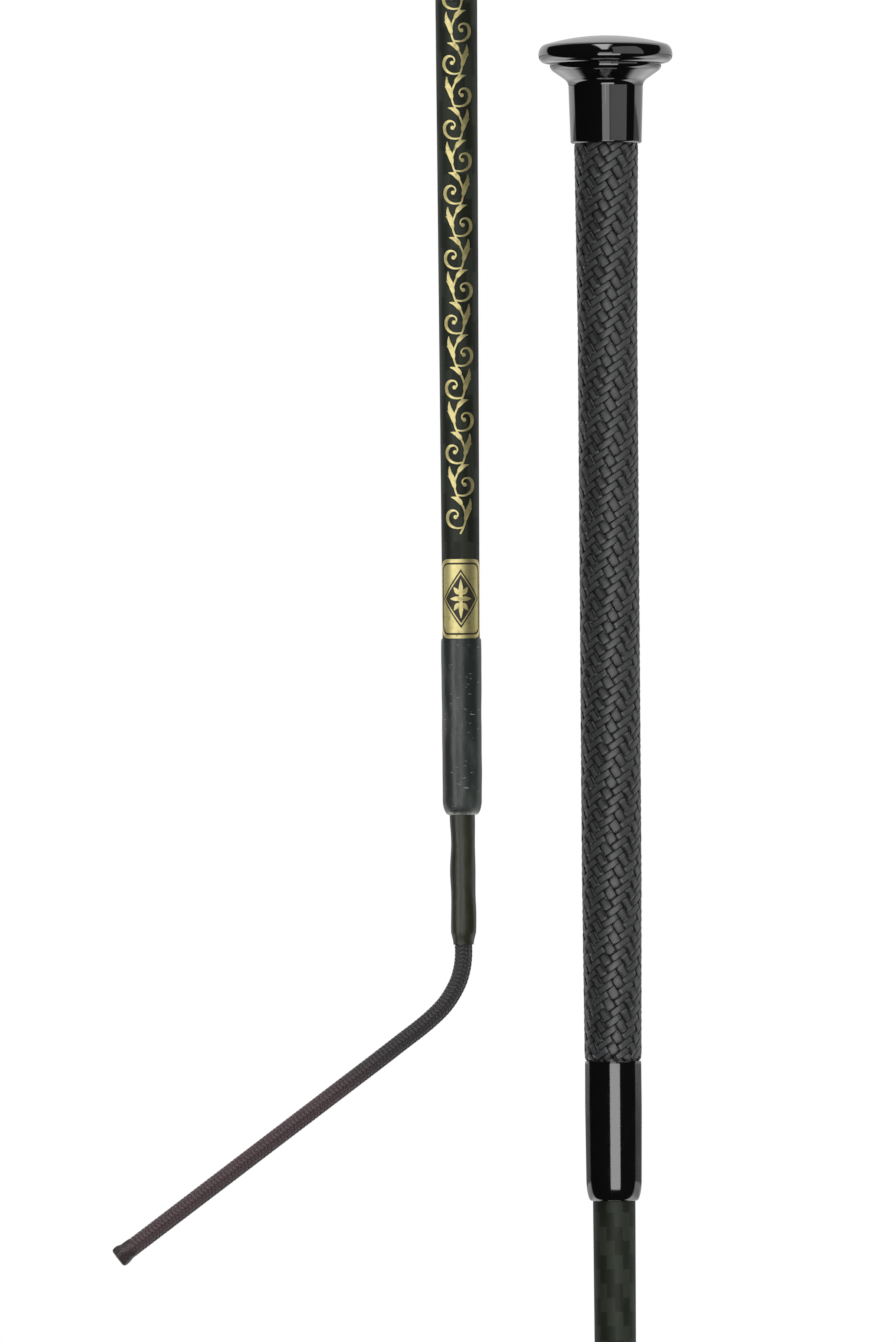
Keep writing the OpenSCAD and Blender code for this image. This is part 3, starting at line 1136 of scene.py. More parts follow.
@dataclass
class Ferrule:
    """The gloss sleeve under the grip that rounds in to the shaft."""

    marks: Landmarks
    radius: float = 6.8 * MM
    bulge: float = 0.05 * MM
    drawn: float = 0.15 * MM
    lip: float = 5.5 * MM
    lip_wall: float = 0.35 * MM
    bore: float = 6.2 * MM
    finish: Finish = field(default=GlossBlack("gloss_black_ferrule", "#070707", 0.09, coat=0.45, peel=0.004))

    def build(self) -> None:
        """Makes the ferrule."""
        top, low, shaft = self.marks.grip_foot, self.marks.ferrule_foot, self.marks.shaft_radius
        shoulder, lip = low + self.lip, shaft + self.lip_wall
        reach = self.radius - self.drawn - lip
        rounded = [(lip + reach * math.cos(t), shoulder - self.lip * math.sin(t))
                   for t in (math.pi / 2 * i / 20 for i in range(21))]
        drop = (top - low) / 3
        outer = [(self.bore, top), (self.radius - self.bulge * 2, top),
                 (self.radius - self.bulge, top - 0.3 * MM),
                 (self.radius - self.bulge * 0.97, top - 0.6 * MM), (self.radius, top - drop)]
        outline = [*outer, *rounded, (shaft, low), (shaft, shoulder), (self.bore, shoulder)]
        mesh = turned(finer(outline, 3 * MM), 128, closed=True)
        keep(finished("gloss_ferrule", mesh, self.finish), Slot.FERRULE, "ferrule")


@dataclass
class Shaft:
    """The carbon skin of the shaft and the gold foil on it."""

    marks: Landmarks
    wrapper: Wrapper
    wall: float = 0.7 * MM
    foil: float = 0.07 * MM
    sunk: float = 0.05 * MM
    motif_pitch: float = 9.0 * MM
    motifs: int = 10
    leaf_width: float = 0.56
    label_width: float = 7.2 * MM
    label_corner: float = 1.6 * MM
    frame_margin: float = 0.5 * MM
    frame_line: float = 0.25 * MM
    plate_width: float = 5.5 * MM
    plate_height: float = 8.2 * MM
    label_raised: float = 0.045 * MM
    print_raised: float = 0.065 * MM
    gilt_raised: float = 0.1 * MM
    skin: Finish = field(default=CarbonWeave("satin_carbon_weave", "#131710", 0.46, ior=1.3))
    gold: Finish = field(default=GoldFoil("hot_pressed_gold", "#dfd397", 0.48, metallic=1.0))
    ink: Finish = field(
        default=PlainStock("printed_black_ink", "#1a1710", 0.5, other="#3a3422", size=0.4, depth=0.01)
    )

    def tube(self, low: float, high: float) -> bpy.types.Mesh:
        """Returns the skin between two heights."""
        heights = sorted({low, high, *(h for h in [self.marks.ferrule_foot] if low < h < high)})
        outer = [(self.marks.shaft(h), h) for h in heights]
        inner = [(r - self.wall, h) for r, h in reversed(outer)]
        loop = finer([*outer, *inner, outer[0]], 20 * MM)
        return turned(loop[:-1], 96, closed=True)

    def disc(self, outline: Outline, loops: int) -> bpy.types.Mesh:
        """Returns a flat motif inside an outline, as loops round its middle."""
        middle = tuple(sum(p[i] for p in outline) / len(outline) for i in (0, 1))
        shares = [(i + 1) / loops for i in range(loops)]
        rows: list[Loop] = [[Vector((*middle, 0.0))]]
        for share, level in [(s, 0.0) for s in shares] + [(s, 1.0) for s in reversed(shares)]:
            ring = [Vector((*(m + (v - m) * share for m, v in zip(middle, p)), level)) for p in outline]
            rows.append(ring)
        return skinned([*rows, [Vector((*middle, 1.0))]])

    def band(self, outer: Outline, inner: Outline, loops: int = 1) -> bpy.types.Mesh:
        """Returns a flat ring between two outlines of equally many points."""
        rows = [[Vector((*p, 0.0)) for p in ring] for ring in (inner, outer)]
        for i in range(loops + 1):
            share = i / loops
            rows.append([Vector((*(a + (b - a) * share for a, b in zip(p, q)), 1.0))
                         for p, q in zip(outer, inner)])
        return skinned(rows, True)

    def ribbon(self, line: Outline, widths: Sequence[float]) -> bpy.types.Mesh:
        """Returns a flat stroke along a line, with a width at each of its points."""
        rows: list[Loop] = [[Vector((*line[0], 0.5))]]
        for i, (point, width) in enumerate(zip(line, widths)):
            before, after = line[max(i - 1, 0)], line[min(i + 1, len(line) - 1)]
            ahead = Vector((after[0] - before[0], after[1] - before[1])).normalized() * width / 2
            sides = [Vector((point[0] + s * ahead.y, point[1] - s * ahead.x)) for s in (-1, 1)]
            rows.append([Vector((*p, level)) for level, pair in ((0.0, sides), (1.0, sides[::-1]))
                         for p in pair])
        return skinned([*rows, [Vector((*line[-1], 0.5))]])

    def leaf(self, base: tuple[float, float], tip: tuple[float, float], bend: float) -> bpy.types.Mesh:
        """Returns a pointed leaf from its base to its tip, in millimetres, with a bend to one side."""
        steps = 12
        line, widths = [], []
        for i in range(steps + 1):
            t = i / steps
            bow = bend * math.sin(math.pi * t)
            x = base[0] + (tip[0] - base[0]) * t - bow * (tip[1] - base[1])
            y = base[1] + (tip[1] - base[1]) * t + bow * (tip[0] - base[0])
            line.append((x * MM, y * MM))
            widths.append((0.06 + self.leaf_width * math.sin(math.pi * t**0.75)) * MM)
        return self.ribbon(line, widths)

    def scroll(self, side: float, foot: float) -> bpy.types.Mesh:
        """Returns a tendril that leaves the stem and curls up on one side."""
        line, widths = [], []
        for i in range(29):
            t = i / 28
            turn = math.radians(-53.0 - 380.0 * t)
            reach = 0.3 + 1.7 * (1 - t) ** 1.8
            x, y = side * (-0.72 + reach * math.cos(turn)), foot + 2.55 + reach * math.sin(turn)
            line.append((x * MM, y * MM))
            widths.append((0.2 + 0.32 * math.sin(math.pi * min(t * 1.6, 1.0)) ** 2) * MM)
        return self.ribbon(line, widths)

    def motif(self) -> bpy.types.Mesh:
        """Returns one length of the scrolling vine: a waved stem, two tendrils and six leaves."""
        length, half = self.motif_pitch / MM, self.motif_pitch / MM / 2
        stem = [(0.75 * MM * math.sin(TURN * i / 40), length * MM * i / 40) for i in range(41)]
        parts = [self.ribbon(stem, [0.24 * MM] * 41)]
        for side, foot in ((1.0, 0.0), (-1.0, half)):
            parts.append(self.scroll(side, foot))
            bud = [(side * -0.66 * MM + x, (foot + 2.32) * MM + y) for x, y in circle(0.56 * MM, 14)]
            parts.append(self.disc(bud, 2))
            parts.append(self.leaf((side * 0.7, foot + 1.7), (side * 1.75, foot + 3.6), side * 0.12))
            parts.append(self.leaf((side * 0.66, foot + 2.9), (side * 1.45, foot + 4.9), side * -0.14))
            parts.append(self.leaf((side * 0.3, foot + 3.9), (side * -1.3, foot + 5.1), side * -0.16))
        shape = bmesh.new()
        for mesh in parts:
            shape.from_mesh(mesh)
            bpy.data.meshes.remove(mesh)
        made = bpy.data.meshes.new("motif")
        shape.to_mesh(made)
        shape.free()
        return made

    def wrapped(
        self, name: str, flat: bpy.types.Mesh, foot: float, finish: Finish, raised: float, count: int = 1
    ) -> bpy.types.Object:
        """Wraps a flat motif, or a row of it, onto the shaft.

        Args:
            name: The piece's name.
            flat: The flat motif, whose zero height comes to lie at foot.
            foot: The height of that line on the whip.
            finish: The finish of the piece.
            raised: How far its top stands out from the shaft.
            count: How many times it is repeated.

        Returns:
            The wrapped piece.
        """
        values = {
            "Count": count,
            "Pitch": self.motif_pitch,
            "Foot": foot,
            "Radius": self.marks.shaft(foot),
            "Taper": self.marks.taper,
            "Sunk": self.sunk,
            "Raised": raised,
        }
        return self.wrapper.grow(name, flat, finish, values)

    def lozenge(self, share: float) -> Outline:
        """Returns the outline of the label's dark plate, at a share of its size."""
        x, y = self.plate_width * share / 2, self.plate_height * share / 2
        return even([(x, 0.0), (0.0, y), (-x, 0.0), (0.0, -y)], 96)

    def label(self) -> list[bpy.types.Object]:
        """Makes the foil label: a gold field, its printed frame and a sprig on a dark lozenge."""
        low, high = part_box("gold_band")[0][2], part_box("gold_band")[1][2]
        middle, tall = (low + high) / 2, high - low
        plain = rounded(self.label_width, tall, self.label_corner, 112)
        pieces = [self.wrapped("label_gold", self.disc(plain, 12), middle, self.gold, self.label_raised)]

        lines = [(2 * inset, corner) for inset, corner in (
            (self.frame_margin, 1.2 * MM), (self.frame_margin + self.frame_line, 0.95 * MM))]
        frame = self.band(*(rounded(self.label_width - less, tall - less, corner, 112)
                            for less, corner in lines))
        plate = self.disc(self.lozenge(1.0), 8)
        inked = [self.wrapped(f"print_{i}", mesh, middle, self.ink, self.print_raised)
                 for i, mesh in enumerate([frame, plate])]
        pieces.append(joined("label_print", inked))

        edge = self.band(self.lozenge(0.9), self.lozenge(0.83))
        tips = ((0.0, 2.7), (0.0, -2.7), (1.5, 0.0), (-1.5, 0.0))
        petals = [self.leaf((0.0, 0.0), tip, 0.0) for tip in tips]
        slips = [self.leaf((x * 0.25, y * 0.6), (x * 0.95, y * 1.6), 0.0) for x in (-1, 1) for y in (-1, 1)]
        heart = self.disc(circle(0.9 * MM, 24), 3)
        gilt = [self.wrapped(f"gilt_{i}", mesh, middle, self.gold, self.gilt_raised)
                for i, mesh in enumerate([edge, *petals, *slips, heart])]
        pieces.append(joined("label_sprig", gilt))
        return pieces

    def build(self) -> list[bpy.types.Object]:
        """Makes the skin and its foil.

        Returns:
            The pieces at the tip end that the display copy repeats.
        """
        marks = self.marks
        keep(finished("carbon_skin", self.tube(marks.shaft_foot, marks.shaft_top), self.skin),
             Slot.CARBON, "shaft_skin")
        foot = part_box("gold_ornament")[0][2]
        vine = self.wrapped("gold_vine", self.motif(), foot, self.gold, self.foil, self.motifs)
        keep(vine, Slot.GOLD, "gold_ornament")
        label = self.label()
        for piece in label:
            keep(piece, Slot.GOLD, "gold_band")
        return [vine, *label]


@dataclass
class Tip:
    """The two shrink sleeves at the tip."""

    marks: Landmarks
    outer_wall: float = 0.2 * MM
    round_height: float = 2.2 * MM
    round_in: float = 0.85 * MM
    inner_radius: float = 1.75 * MM
    cord_radius: float = 1.25 * MM
    seed: float = 4.0

    def lumps(self, size: float, depth: float) -> Callable[[Vector], float]:
        """Returns soft unevenness of a given size and depth."""

        def lump(point: Vector) -> float:
            """Returns how far the sleeve stands out at a point."""
            spot = Vector((point.x, point.y, point.z * 0.6)) / size + Vector((self.seed, 0.0, 0.0))
            return noise.noise(spot) * depth

        return lump

    def outer(self) -> bpy.types.Object:
        """Makes the outer sleeve, which closes onto the inner one."""
        marks = self.marks
        foot = marks.shaft(marks.shaft_foot) + self.outer_wall
        end = [(foot - self.round_in * (1 - math.cos(t)),
                marks.tip_end + self.round_height * (1 - math.sin(t)))
               for t in (math.pi / 2 * i / 16 for i in range(17))]
        top = marks.shaft(marks.sleeve_top)
        outline = [(top, marks.sleeve_top), (top + self.outer_wall * 0.6, marks.sleeve_top),
                   (top + self.outer_wall, marks.sleeve_top - 0.3 * MM), *end,
                   (self.inner_radius, marks.tip_end + 0.1 * MM), (self.inner_radius, marks.shaft_foot),
                   (marks.shaft(marks.shaft_foot), marks.shaft_foot), (top, marks.sleeve_top)]
        finish = ShrinkSleeve("satin_grey_shrink", "#1d2220", 0.3, scratches=1.0,
                              rim_height=marks.tip_end / MM)
        mesh = turned(finer(outline, 0.6 * MM)[:-1], 72, closed=True, lumps=self.lumps(2.4 * MM, 0.05 * MM))
        return finished("outer_shrink_sleeve", mesh, finish)

    def inner(self) -> bpy.types.Object:
        """Makes the inner sleeve, lumpy over the knotted root of the lash."""
        marks = self.marks
        low, high = marks.lash_exit, marks.shaft_foot
        outline = [(self.cord_radius, low), (self.cord_radius + 0.16 * MM, low),
                   (self.inner_radius - 0.28 * MM, low + 0.5 * MM), (self.inner_radius, low + 1.7 * MM),
                   (self.inner_radius, high), (self.cord_radius, high), (self.cord_radius, low)]
        finish = ShrinkSleeve("satin_olive_shrink", "#1d1e14", 0.34, pale="#42443a")
        mesh = turned(finer(outline, 0.45 * MM)[:-1], 64, closed=True, lumps=self.lumps(3.0 * MM, 0.24 * MM))
        return finished("inner_shrink_sleeve", mesh, finish)

    def build(self) -> list[bpy.types.Object]:
        """Makes both sleeves and returns them."""
        return [keep(self.outer(), Slot.SHRINK_GREY, "tip_sleeve"),
                keep(self.inner(), Slot.SHRINK_OLIVE, "lash_sleeve")]


@dataclass
class Lash:
    """The short braided lash, bent to one side, with its end melted shut.

    The route is the CAD model's own, as x and z below the lash's exit, in millimetres.
    """

    marks: Landmarks
    strands: Strands
    route: tuple[tuple[float, float], ...] = (
        (0, 0), (0, -1.5), (-0.2, -3.2), (-0.7, -5), (-1.6, -6.8), (-2.8, -8.5), (-4.4, -10.1),
        (-6.2, -11.6), (-8.2, -13.1), (-12, -16), (-16, -19), (-20, -22), (-24, -25), (-28, -28),
        (-32, -31), (-36, -34), (-40, -37), (-44, -40), (-46.4, -41.8))
    radius: float = 1.25 * MM
    yarns: int = 8
    lead: float = 4.6 * MM
    yarn_width: float = 0.5 * MM
    yarn_thickness: float = 0.3 * MM
    wave: float = 0.1 * MM
    hidden: float = 0.8 * MM
    end_radius: float = 1.45 * MM
    end_length: float = 2.4 * MM

    def points(self) -> list[Vector]:
        """Returns the route in the frame, smoothed between its points."""
        bare = [Vector((x * MM, 0.0, self.marks.lash_exit + z * MM)) for x, z in self.route]
        ends = [bare[0] * 2 - bare[1], *bare, bare[-1] * 2 - bare[-2]]
        smooth = []
        for a, b, c, d in zip(ends, ends[1:], ends[2:], ends[3:]):
            for t in (0.0, 0.25, 0.5, 0.75):
                smooth.append(0.5 * (2 * b + (c - a) * t + (2 * a - 5 * b + 4 * c - d) * t**2
                                     + (3 * b - a - 3 * c + d) * t**3))
        return [*smooth, bare[-1]]

    def core(self, path: Sequence[Vector]) -> bpy.types.Mesh:
        """Returns the dark core inside the braid."""
        side = Vector((0.0, 1.0, 0.0))
        inner = self.radius - self.wave * 2 - self.yarn_thickness * 0.6
        loops: list[Loop] = [[path[0]]]
        for i, point in enumerate(path):
            ahead = (path[min(i + 1, len(path) - 1)] - path[max(i - 1, 0)]).normalized()
            across = ahead.cross(side)
            loops.append([point + inner * (side * math.cos(TURN * k / 16) + across * math.sin(TURN * k / 16))
                          for k in range(16)])
        return skinned([*loops, [path[-1]]])

    def braid(self) -> bpy.types.Object:
        """Braids the lash along its route."""
        path = self.points()
        start = path[0] + Vector((0.0, 0.0, self.hidden))
        finish = BraidYarn("polyester_braid", "#2a1f22", 0.6, dark_above=self.marks.lash_exit / MM - 16)
        shared = {
            "Strands": self.yarns,
            "Other strands": float(self.yarns),
            "Lead": self.lead,
            "Other lead": self.lead,
            "Repeat": 4.0,
            "Wave": self.wave,
            "Snap": 1.4,
            "Width": self.yarn_width,
            "Thickness": self.yarn_thickness,
            "Crown": 0.2,
            "Squareness": 0.7,
            "Steps": 560,
            "Sides": 6,
        }
        sets = []
        for hand in Hand:
            line = path_mesh([start, *path], [self.radius] * (len(path) + 1))
            values = shared | {"Hand": hand.value, "Over": hand.value}
            sets.append(self.strands.grow(f"yarns_{hand.name}", line, finish, values))
        sets.append(finished("lash_core", self.core(path), finish))
        piece = joined("braided_lash", sets)
        return keep(piece, Slot.LASH, "lash")

    def end(self) -> bpy.types.Object:
        """Makes the flared, melted end."""
        path = self.points()
        way = (path[-1] - path[-2]).normalized()
        wide, long = self.end_radius, self.end_length
        outline = [(0.0, -0.4 * MM), (self.radius * 0.97, -0.4 * MM), (self.radius, 0.2 * MM),
                   (self.radius * 1.03, 0.8 * MM), (wide * 0.99, long * 0.6), (wide, long * 0.78),
                   (wide * 0.93, long * 0.94), (wide * 0.75, long), (wide * 0.4, long * 1.01),
                   (0.0, long * 0.97)]

        def folds(point: Vector) -> float:
            """Returns how far the melt stands out at a point."""
            turn = math.atan2(point.y, point.x)
            deep = 0.07 * MM * math.sin(turn * 5) * max(0.0, point.z) / self.end_length
            return deep + noise.noise(point / (0.8 * MM)) * 0.08 * MM

        mesh = turned(finer(outline, 0.2 * MM), 48, lumps=folds)
        mesh.transform(Matrix.Translation(path[-1]) @ way.to_track_quat("Z", "Y").to_matrix().to_4x4())
        finish = MeltedBraid("melted_braid_end", "#2b2323", 0.5)
        return keep(finished("melted_lash_end", mesh, finish), Slot.SEAL, "lash_end")

    def build(self) -> list[bpy.types.Object]:
        braid, end = self.braid(), self.end()
        path = self.points()
        length = sum((b - a).length for a, b in zip(path, path[1:]))
        self.radius * 2
        return [braid, end]


@dataclass
class Bindings:
    """The waxed thread that ties the weave down, wound inside the collar and the ferrule."""

    marks: Landmarks
    strands: Strands
    thread: float = 0.5 * MM
    finish: Finish = field(
        default=PlainStock("waxed_linen_thread", "#6b5433", 0.6, other="#3f3120", size=0.15)
    )

    def build(self) -> None:
        """Winds both bindings."""
        for name, node in (("collar_whipping", "top_binding"), ("ferrule_whipping", "foot_binding")):
            low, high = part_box(node)
            half = self.thread / 2
            ends = [Vector((0.0, 0.0, low[2] + half)), Vector((0.0, 0.0, high[2] - half))]
            turns = (ends[1] - ends[0]).length / self.thread
            values = {
                "Strands": 1,
                "Other strands": 1.0,
                "Lead": self.thread,
                "Other lead": 1.0,
                "Hand": Hand.RISING.value,
                "Over": 1.0,
                "Repeat": 4.0,
                "Wave": 0.0,
                "Snap": 1.0,
                "Width": self.thread * 1.05,
                "Thickness": high[0] - 5.45 * MM,
                "Crown": 0.0,
                "Squareness": 0.7,
                "Steps": round(turns * 40),
                "Sides": 8,
            }
            piece = self.strands.grow(name, path_mesh(ends, [high[0]] * 2), self.finish, values)
            keep(piece, Slot.THREAD, node)


@dataclass
class HiddenParts:
    """CAD pieces inside the whip, which keep their shape and get their own finish."""

    finishes: dict[str, Finish] = field(
        default_factory=lambda: {
            "cap_stud": TurnedMetal("turned_steel", "#a5a8ac", 0.32, metallic=1.0),
            "balance_ring": TurnedMetal("turned_brass", "#c9a352", 0.3, metallic=1.0),
            "shaft_core": PlainStock("drawn_glass_fibre", "#c8c39b", 0.35, other="#a79f74", size=0.3,
                                     stretch=(1.0, 1.0, 40.0)),
            "grip_liner": PlainStock("moulded_rubber_liner", "#232120", 0.75, other="#33302d", size=0.4),
            "ferrule_packing": PlainStock("cast_resin_collar", "#a98a45", 0.25, other="#8c6d2e", size=1.5),
            "tip_plug": PlainStock("turned_nylon_plug", "#8d8a80", 0.45, other="#77746a", size=0.2,
                                   stretch=(30.0, 30.0, 1.0)),
            "lash_root": PlainStock("braid_inside_sleeve", "#2c2326", 0.7, other="#171314", size=0.25),
        }
    )

    def build(self, nodes: dict[str, bpy.types.Object]) -> None:
        """Dresses each CAD piece.

        Args:
            nodes: The frame's CAD objects, by node name.
        """
        for node, finish in self.finishes.items():
            slots = nodes[node].data.materials
            slots.clear()
            slots.append(finish.material())
            LOG.info("%s: CAD shape kept, %s", node, finish.name)


# ---------------------------------------------------------------- the studio


@dataclass
class Camera:
    """The camera, square on to the whip.

    The span is the height of its picture at the whip. Side and height are where it looks, from the
    frame's origin, and the roll is in degrees.
    """

    distance: float = 4.0
    span: float = 0.3218
    side: float = -0.0390
    height: float = -0.0162
    roll: float = 0.44
    sensor: float = 36.0

    def __post_init__(self) -> None:
        """Works out where the camera is and which way is up in its picture."""
        turn = math.radians(self.roll)
        self.right = Vector((math.cos(turn), 0.0, -math.sin(turn)))
        self.up = Vector((math.sin(turn), 0.0, math.cos(turn)))
        self.forward = Vector((0.0, 1.0, 0.0))
        self.place = Vector((self.side, -self.distance, self.height))

    def build(self) -> None:
        """Makes the camera and looks through it."""
        data = bpy.data.cameras.new("camera")
        data.sensor_width = self.sensor
        data.lens = self.sensor * self.distance / self.span
        data.clip_start, data.clip_end = 0.005, 100.0
        made = bpy.data.objects.new("camera", data)
        columns = (self.right, self.up, -self.forward, self.place)
        made.matrix_world = Matrix([[*(c[i] for c in columns)] for i in range(3)] + [[0, 0, 0, 1]])
        bpy.context.collection.objects.link(made)
        bpy.context.scene.camera = made

    def spot(self, across: float, up: float, depth: float) -> Vector:
        """Returns the place at a depth that covers a point of the picture's plane at the whip."""
        share = depth / self.distance
        return self.place + self.forward * depth + (self.right * across + self.up * up) * share


@dataclass
class TipDisplay:
    """A display copy of the tip end beside the handle, enlarged in the picture.

    It is made of stage objects and isn't part of the whip, which has its own tip below the picture's
    edge. It hangs just in front of the camera, a few millimetres tall, so other views don't show it.
    Leaving out the call of build() leaves it out and changes nothing on the whip.
    """

    camera: Camera
    marks: Landmarks
    depth: float = 0.08
    zoom: float = 1.727
    across: float = 0.0036
    up: float = -0.0345

    @property
    def anchor(self) -> Vector:
        """The place of the display copy's tip."""
        return self.camera.spot(self.across, self.up, self.depth)

    def dress(self, material: bpy.types.Material, scale: float) -> bpy.types.Material:
        """Returns a copy of a material whose relief is as small as the display copy."""
        copy = material.copy()
        for node in copy.node_tree.nodes:
            if node.type == "BUMP":
                node.inputs["Distance"].default_value *= scale
        return copy

    def build(self, pieces: Sequence[bpy.types.Object]) -> None:
        """Copies the pieces, scaled about the whip's tip.

        Args:
            pieces: The pieces at the tip end.
        """
        scale = self.zoom * self.depth / self.camera.distance
        tip = Vector((0.0, 0.0, self.marks.tip_end))
        move = Matrix.Translation(self.anchor) @ Matrix.Scale(scale, 4) @ Matrix.Translation(-tip)
        for piece in pieces:
            mesh = piece.data.copy()
            for i, material in enumerate(list(mesh.materials)):
                mesh.materials[i] = self.dress(material, scale)
            copy = bpy.data.objects.new(f"display_{piece.name}", mesh)
            bpy.context.collection.objects.link(copy)
            copy.matrix_world = move
            copy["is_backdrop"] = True
        LOG.info("display copy of the tip: %d pieces at 1:%.0f", len(pieces), 1 / scale)


@dataclass(frozen=True)
class Softbox:
    """An upright rectangular lamp that faces a line, wide enough to span a sweep round it.

    The sweep is in degrees round from the camera's side; low and high are heights; the glow is its
    radiance.
    """

    name: str
    left: float
    right: float
    distance: float
    low: float
    high: float
    glow: float

    def build(self, about: Vector) -> None:
        """Hangs the lamp round a vertical line through a point."""
        span, middle = math.radians(self.right - self.left), math.radians(self.right + self.left) / 2
        data = bpy.data.lights.new(self.name, "AREA")
        data.shape = "RECTANGLE"
        data.size, data.size_y = 2 * self.distance * math.tan(span / 2), self.high - self.low
        data.energy = self.glow * math.pi * data.size * data.size_y
        away = Vector((math.sin(middle), -math.cos(middle), 0.0))
        made = bpy.data.objects.new(self.name, data)
        made.location = about + away * self.distance + Vector((0.0, 0.0, (self.low + self.high) / 2))
        made.rotation_euler = (math.pi / 2, 0.0, middle)
        made.visible_camera = False
        bpy.context.collection.objects.link(made)


@dataclass(frozen=True)
class Fill:
    """A wide far lamp that lights matt surfaces and leaves no glint on gloss."""

    name: str
    strength: float
    width: float
    way: tuple[float, float, float]

    def build(self) -> None:
        """Hangs the lamp."""
        data = bpy.data.lights.new(self.name, "SUN")
        data.energy, data.angle = self.strength, math.radians(self.width)
        made = bpy.data.objects.new(self.name, data)
        made.rotation_euler = Vector(self.way).to_track_quat("Z", "Y").to_euler()
        made.visible_glossy = False
        bpy.context.collection.objects.link(made)


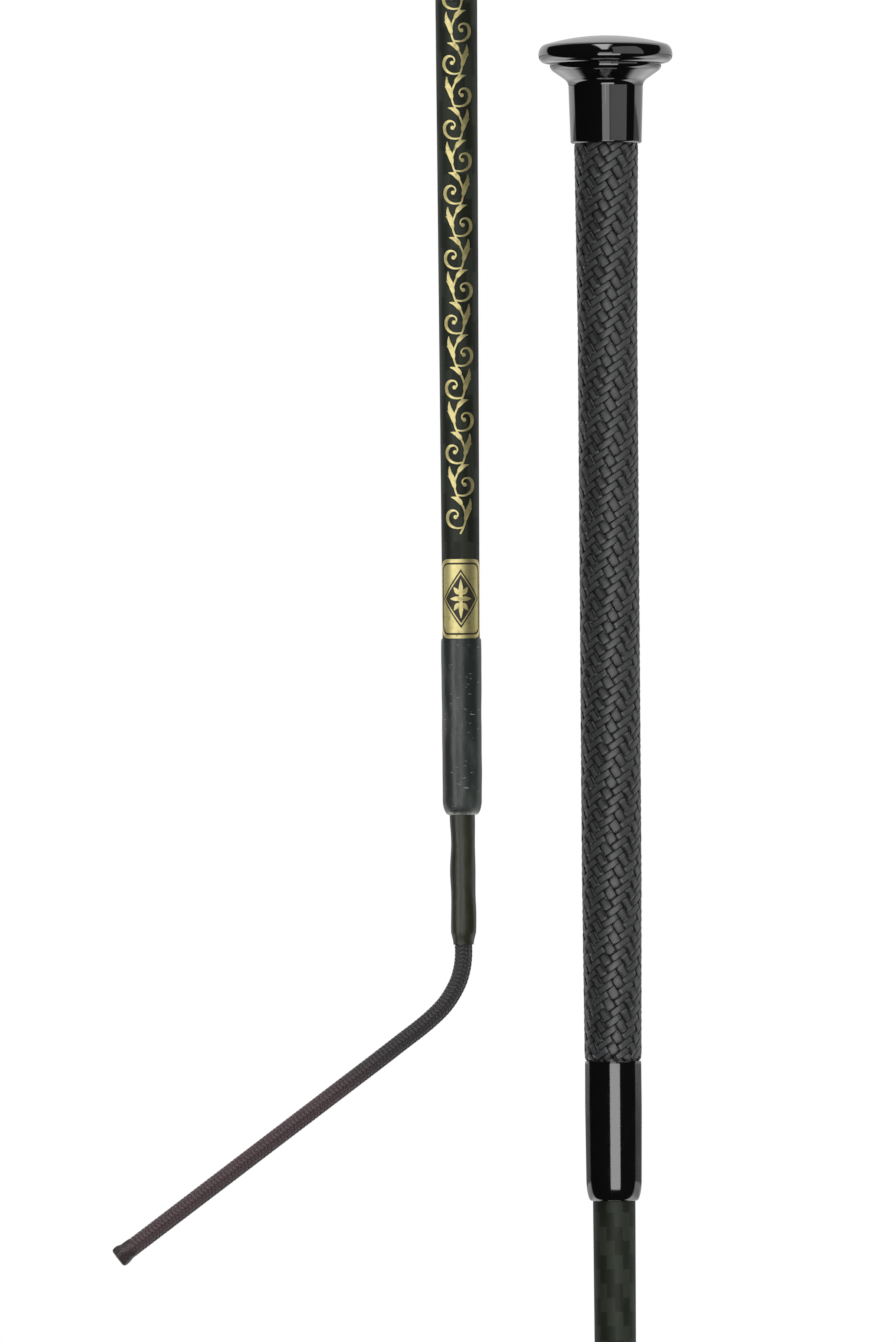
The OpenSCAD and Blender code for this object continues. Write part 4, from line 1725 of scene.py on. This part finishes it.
@dataclass
class Studio:
    """White beyond and below the whip, a dark room in front of it, and a few soft lamps.

    Angles are in degrees. A band is a lowest and a highest upward slope of the view, from -1 to 1.
    The dark room is a cone round a way that tilts up from the camera's side. Behind its edge the
    white fades from near to far. The rear patch stays white behind the cap. The gain brightens the
    lower white, the flag shades a thin band just below level, and the pit is black straight below.
    The skylight is a window in the dark room, with its lean to either side and its rise from the
    front, and dim is the room's own faint light.
    """

    marks: Landmarks
    display: Vector
    floor_gap: float = 2 * MM
    floor_radius: float = 0.24
    dark_tilt: float = 30.0
    dark_half: float = 107.0
    dark_side: float = -0.11
    near: float = 1.65
    far: float = 0.75
    far_from: float = 145.0
    rear_rise: float = 40.0
    rear_half: float = 35.0
    high_loss: float = 0.3
    gain_band: tuple[float, float] = (-0.6, -0.2)
    low_gain: float = 1.7
    flag_band: tuple[float, float] = (-0.07, -0.017)
    flagged: float = 0.72
    pit_band: tuple[float, float] = (-0.86, -0.76)
    skylight: float = 7.0
    skylight_sides: tuple[float, float] = (-13.0, 6.0)
    skylight_rise: tuple[float, float] = (28.0, 84.0)
    dim: float = 0.02
    boxes: tuple[Softbox, ...] = (
        Softbox("upper_strip", -12, 11, 0.9, -0.07, 0.2, 2.4),
        Softbox("side_panel", 13, 68, 0.7, 0.03, 1.0, 1.0),
        Softbox("lower_box", -14, 26, 0.9, -0.4, -0.07, 4.9),
    )
    display_boxes: tuple[Softbox, ...] = (
        Softbox("display_side_box", -56, -38, 0.12, -0.06, 0.06, 3.8),
        Softbox("display_front_box", -24, 8, 0.12, -0.06, 0.06, 2.0),
    )
    fills: tuple[Fill, ...] = (
        Fill("front_fill", 2.3, 20.0, (0.14, -1.0, 0.12)),
        Fill("top_fill", 1.5, 40.0, (0.0, -0.1, 1.0)),
    )

    def world(self) -> None:
        """Makes the surroundings, which the camera itself sees as plain white."""
        world = bpy.data.worlds.new("studio")
        world.use_nodes = True
        tree = world.node_tree
        tree.nodes.clear()
        x, y, z = axes(tree, add(tree, "ShaderNodeTexCoord").outputs["Generated"])
        degrees = 360 / TURN
        tilt = math.radians(self.dark_tilt)
        middle = z * math.sin(tilt) - y * math.cos(tilt) + x * self.dark_side
        off = middle.op("ARCCOSINE") * degrees
        edge = self.dark_half
        rise, rear = math.radians(self.rear_rise), math.radians(self.rear_half)
        behind = y * math.cos(rise) + z * math.sin(rise)
        patch = behind.ramp(math.cos(rear) - 0.02, math.cos(rear) + 0.02)
        white = off.ramp(edge - 2.5, edge + 2.5).op("MAXIMUM", patch)
        white = white * (1.0 - z.ramp(0.0, 0.6) * self.high_loss)
        white = white * ((1.0 - z.ramp(*self.gain_band)) * self.low_gain + 1.0)
        white = white * (1.0 - z.window(*self.flag_band, 0.004) * self.flagged)
        white = white * z.ramp(*self.pit_band)
        light = white * (self.near - off.ramp(edge, self.far_from) * (self.near - self.far)) + self.dim
        side = (x.op("ARCTAN2", z) * degrees).window(*self.skylight_sides, 3.0)
        deep = (z.op("ARCTAN2", -y) * degrees).window(*self.skylight_rise, 4.0)
        light = light + side * deep * self.skylight
        glow = add(tree, "ShaderNodeBackground", inputs={"Strength": light})
        plain = add(tree, "ShaderNodeBackground", inputs={"Color": linear("#ffffff"), "Strength": 1.0})
        seen = add(tree, "ShaderNodeLightPath").outputs["Is Camera Ray"]
        mix = add(tree, "ShaderNodeMixShader", inputs={0: seen, 1: glow.outputs[0], 2: plain.outputs[0]})
        add(tree, "ShaderNodeOutputWorld", inputs={"Surface": mix.outputs[0]})
        bpy.context.scene.world = world

    def floor(self) -> None:
        """Lays the plain pale floor under the whip."""
        height = self.marks.lowest - self.floor_gap
        mesh = bpy.data.meshes.new("floor")
        rim = [(x, y, height) for x, y in circle(self.floor_radius * 2, 96)]
        mesh.from_pydata(rim, [], [tuple(range(96))])
        finish = PlainStock("pale_matt_floor", "#f4f4f2", 0.8, other="#ececea", size=400.0, depth=0.0)
        finished("floor", mesh, finish)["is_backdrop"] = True

    def build(self) -> None:
        """Makes the surroundings, the lamps and the floor, and keeps colours plain."""
        self.world()
        for box in self.boxes:
            box.build(Vector((0.0, 0.0, 0.0)))
        for box in self.display_boxes:
            box.build(self.display)
        for fill in self.fills:
            fill.build()
        self.floor()
        bpy.context.scene.view_settings.view_transform = "Standard"


def corners(box: Sequence[Sequence[float]]) -> list[list[float]]:
    """Returns a box's two corners as plain lists."""
    return [[float(x) for x in corner] for corner in box]


def main() -> None:
    """Builds the whip's looks round the CAD frame, then the studio."""
    logging.basicConfig(level=logging.INFO, format="%(name)s: %(message)s")
    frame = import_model()
    cad_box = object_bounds()
    marks = Landmarks.read()

    camera = Camera()
    camera.build()
    strands, wrapper = Strands(), Wrapper()
    lash = Lash(marks, strands).build()
    Cap(marks).build()
    Grip(marks, strands).build()
    Ferrule(marks).build()
    shaft = Shaft(marks, wrapper)
    foil = shaft.build()
    sleeves = Tip(marks).build()
    Bindings(marks, strands).build()
    HiddenParts().build(frame["nodes"])

    stub = finished("stub", shaft.tube(marks.shaft_foot, marks.sleeve_top + 120 * MM), shaft.skin)
    display = TipDisplay(camera, marks)
    display.build([stub, *foil, *sleeves, *lash])
    bpy.data.objects.remove(stub)
    Studio(marks, display.anchor).build()

    {"cad": corners(cad_box), "visual": corners(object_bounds())}


if __name__ == "__main__":
    main()
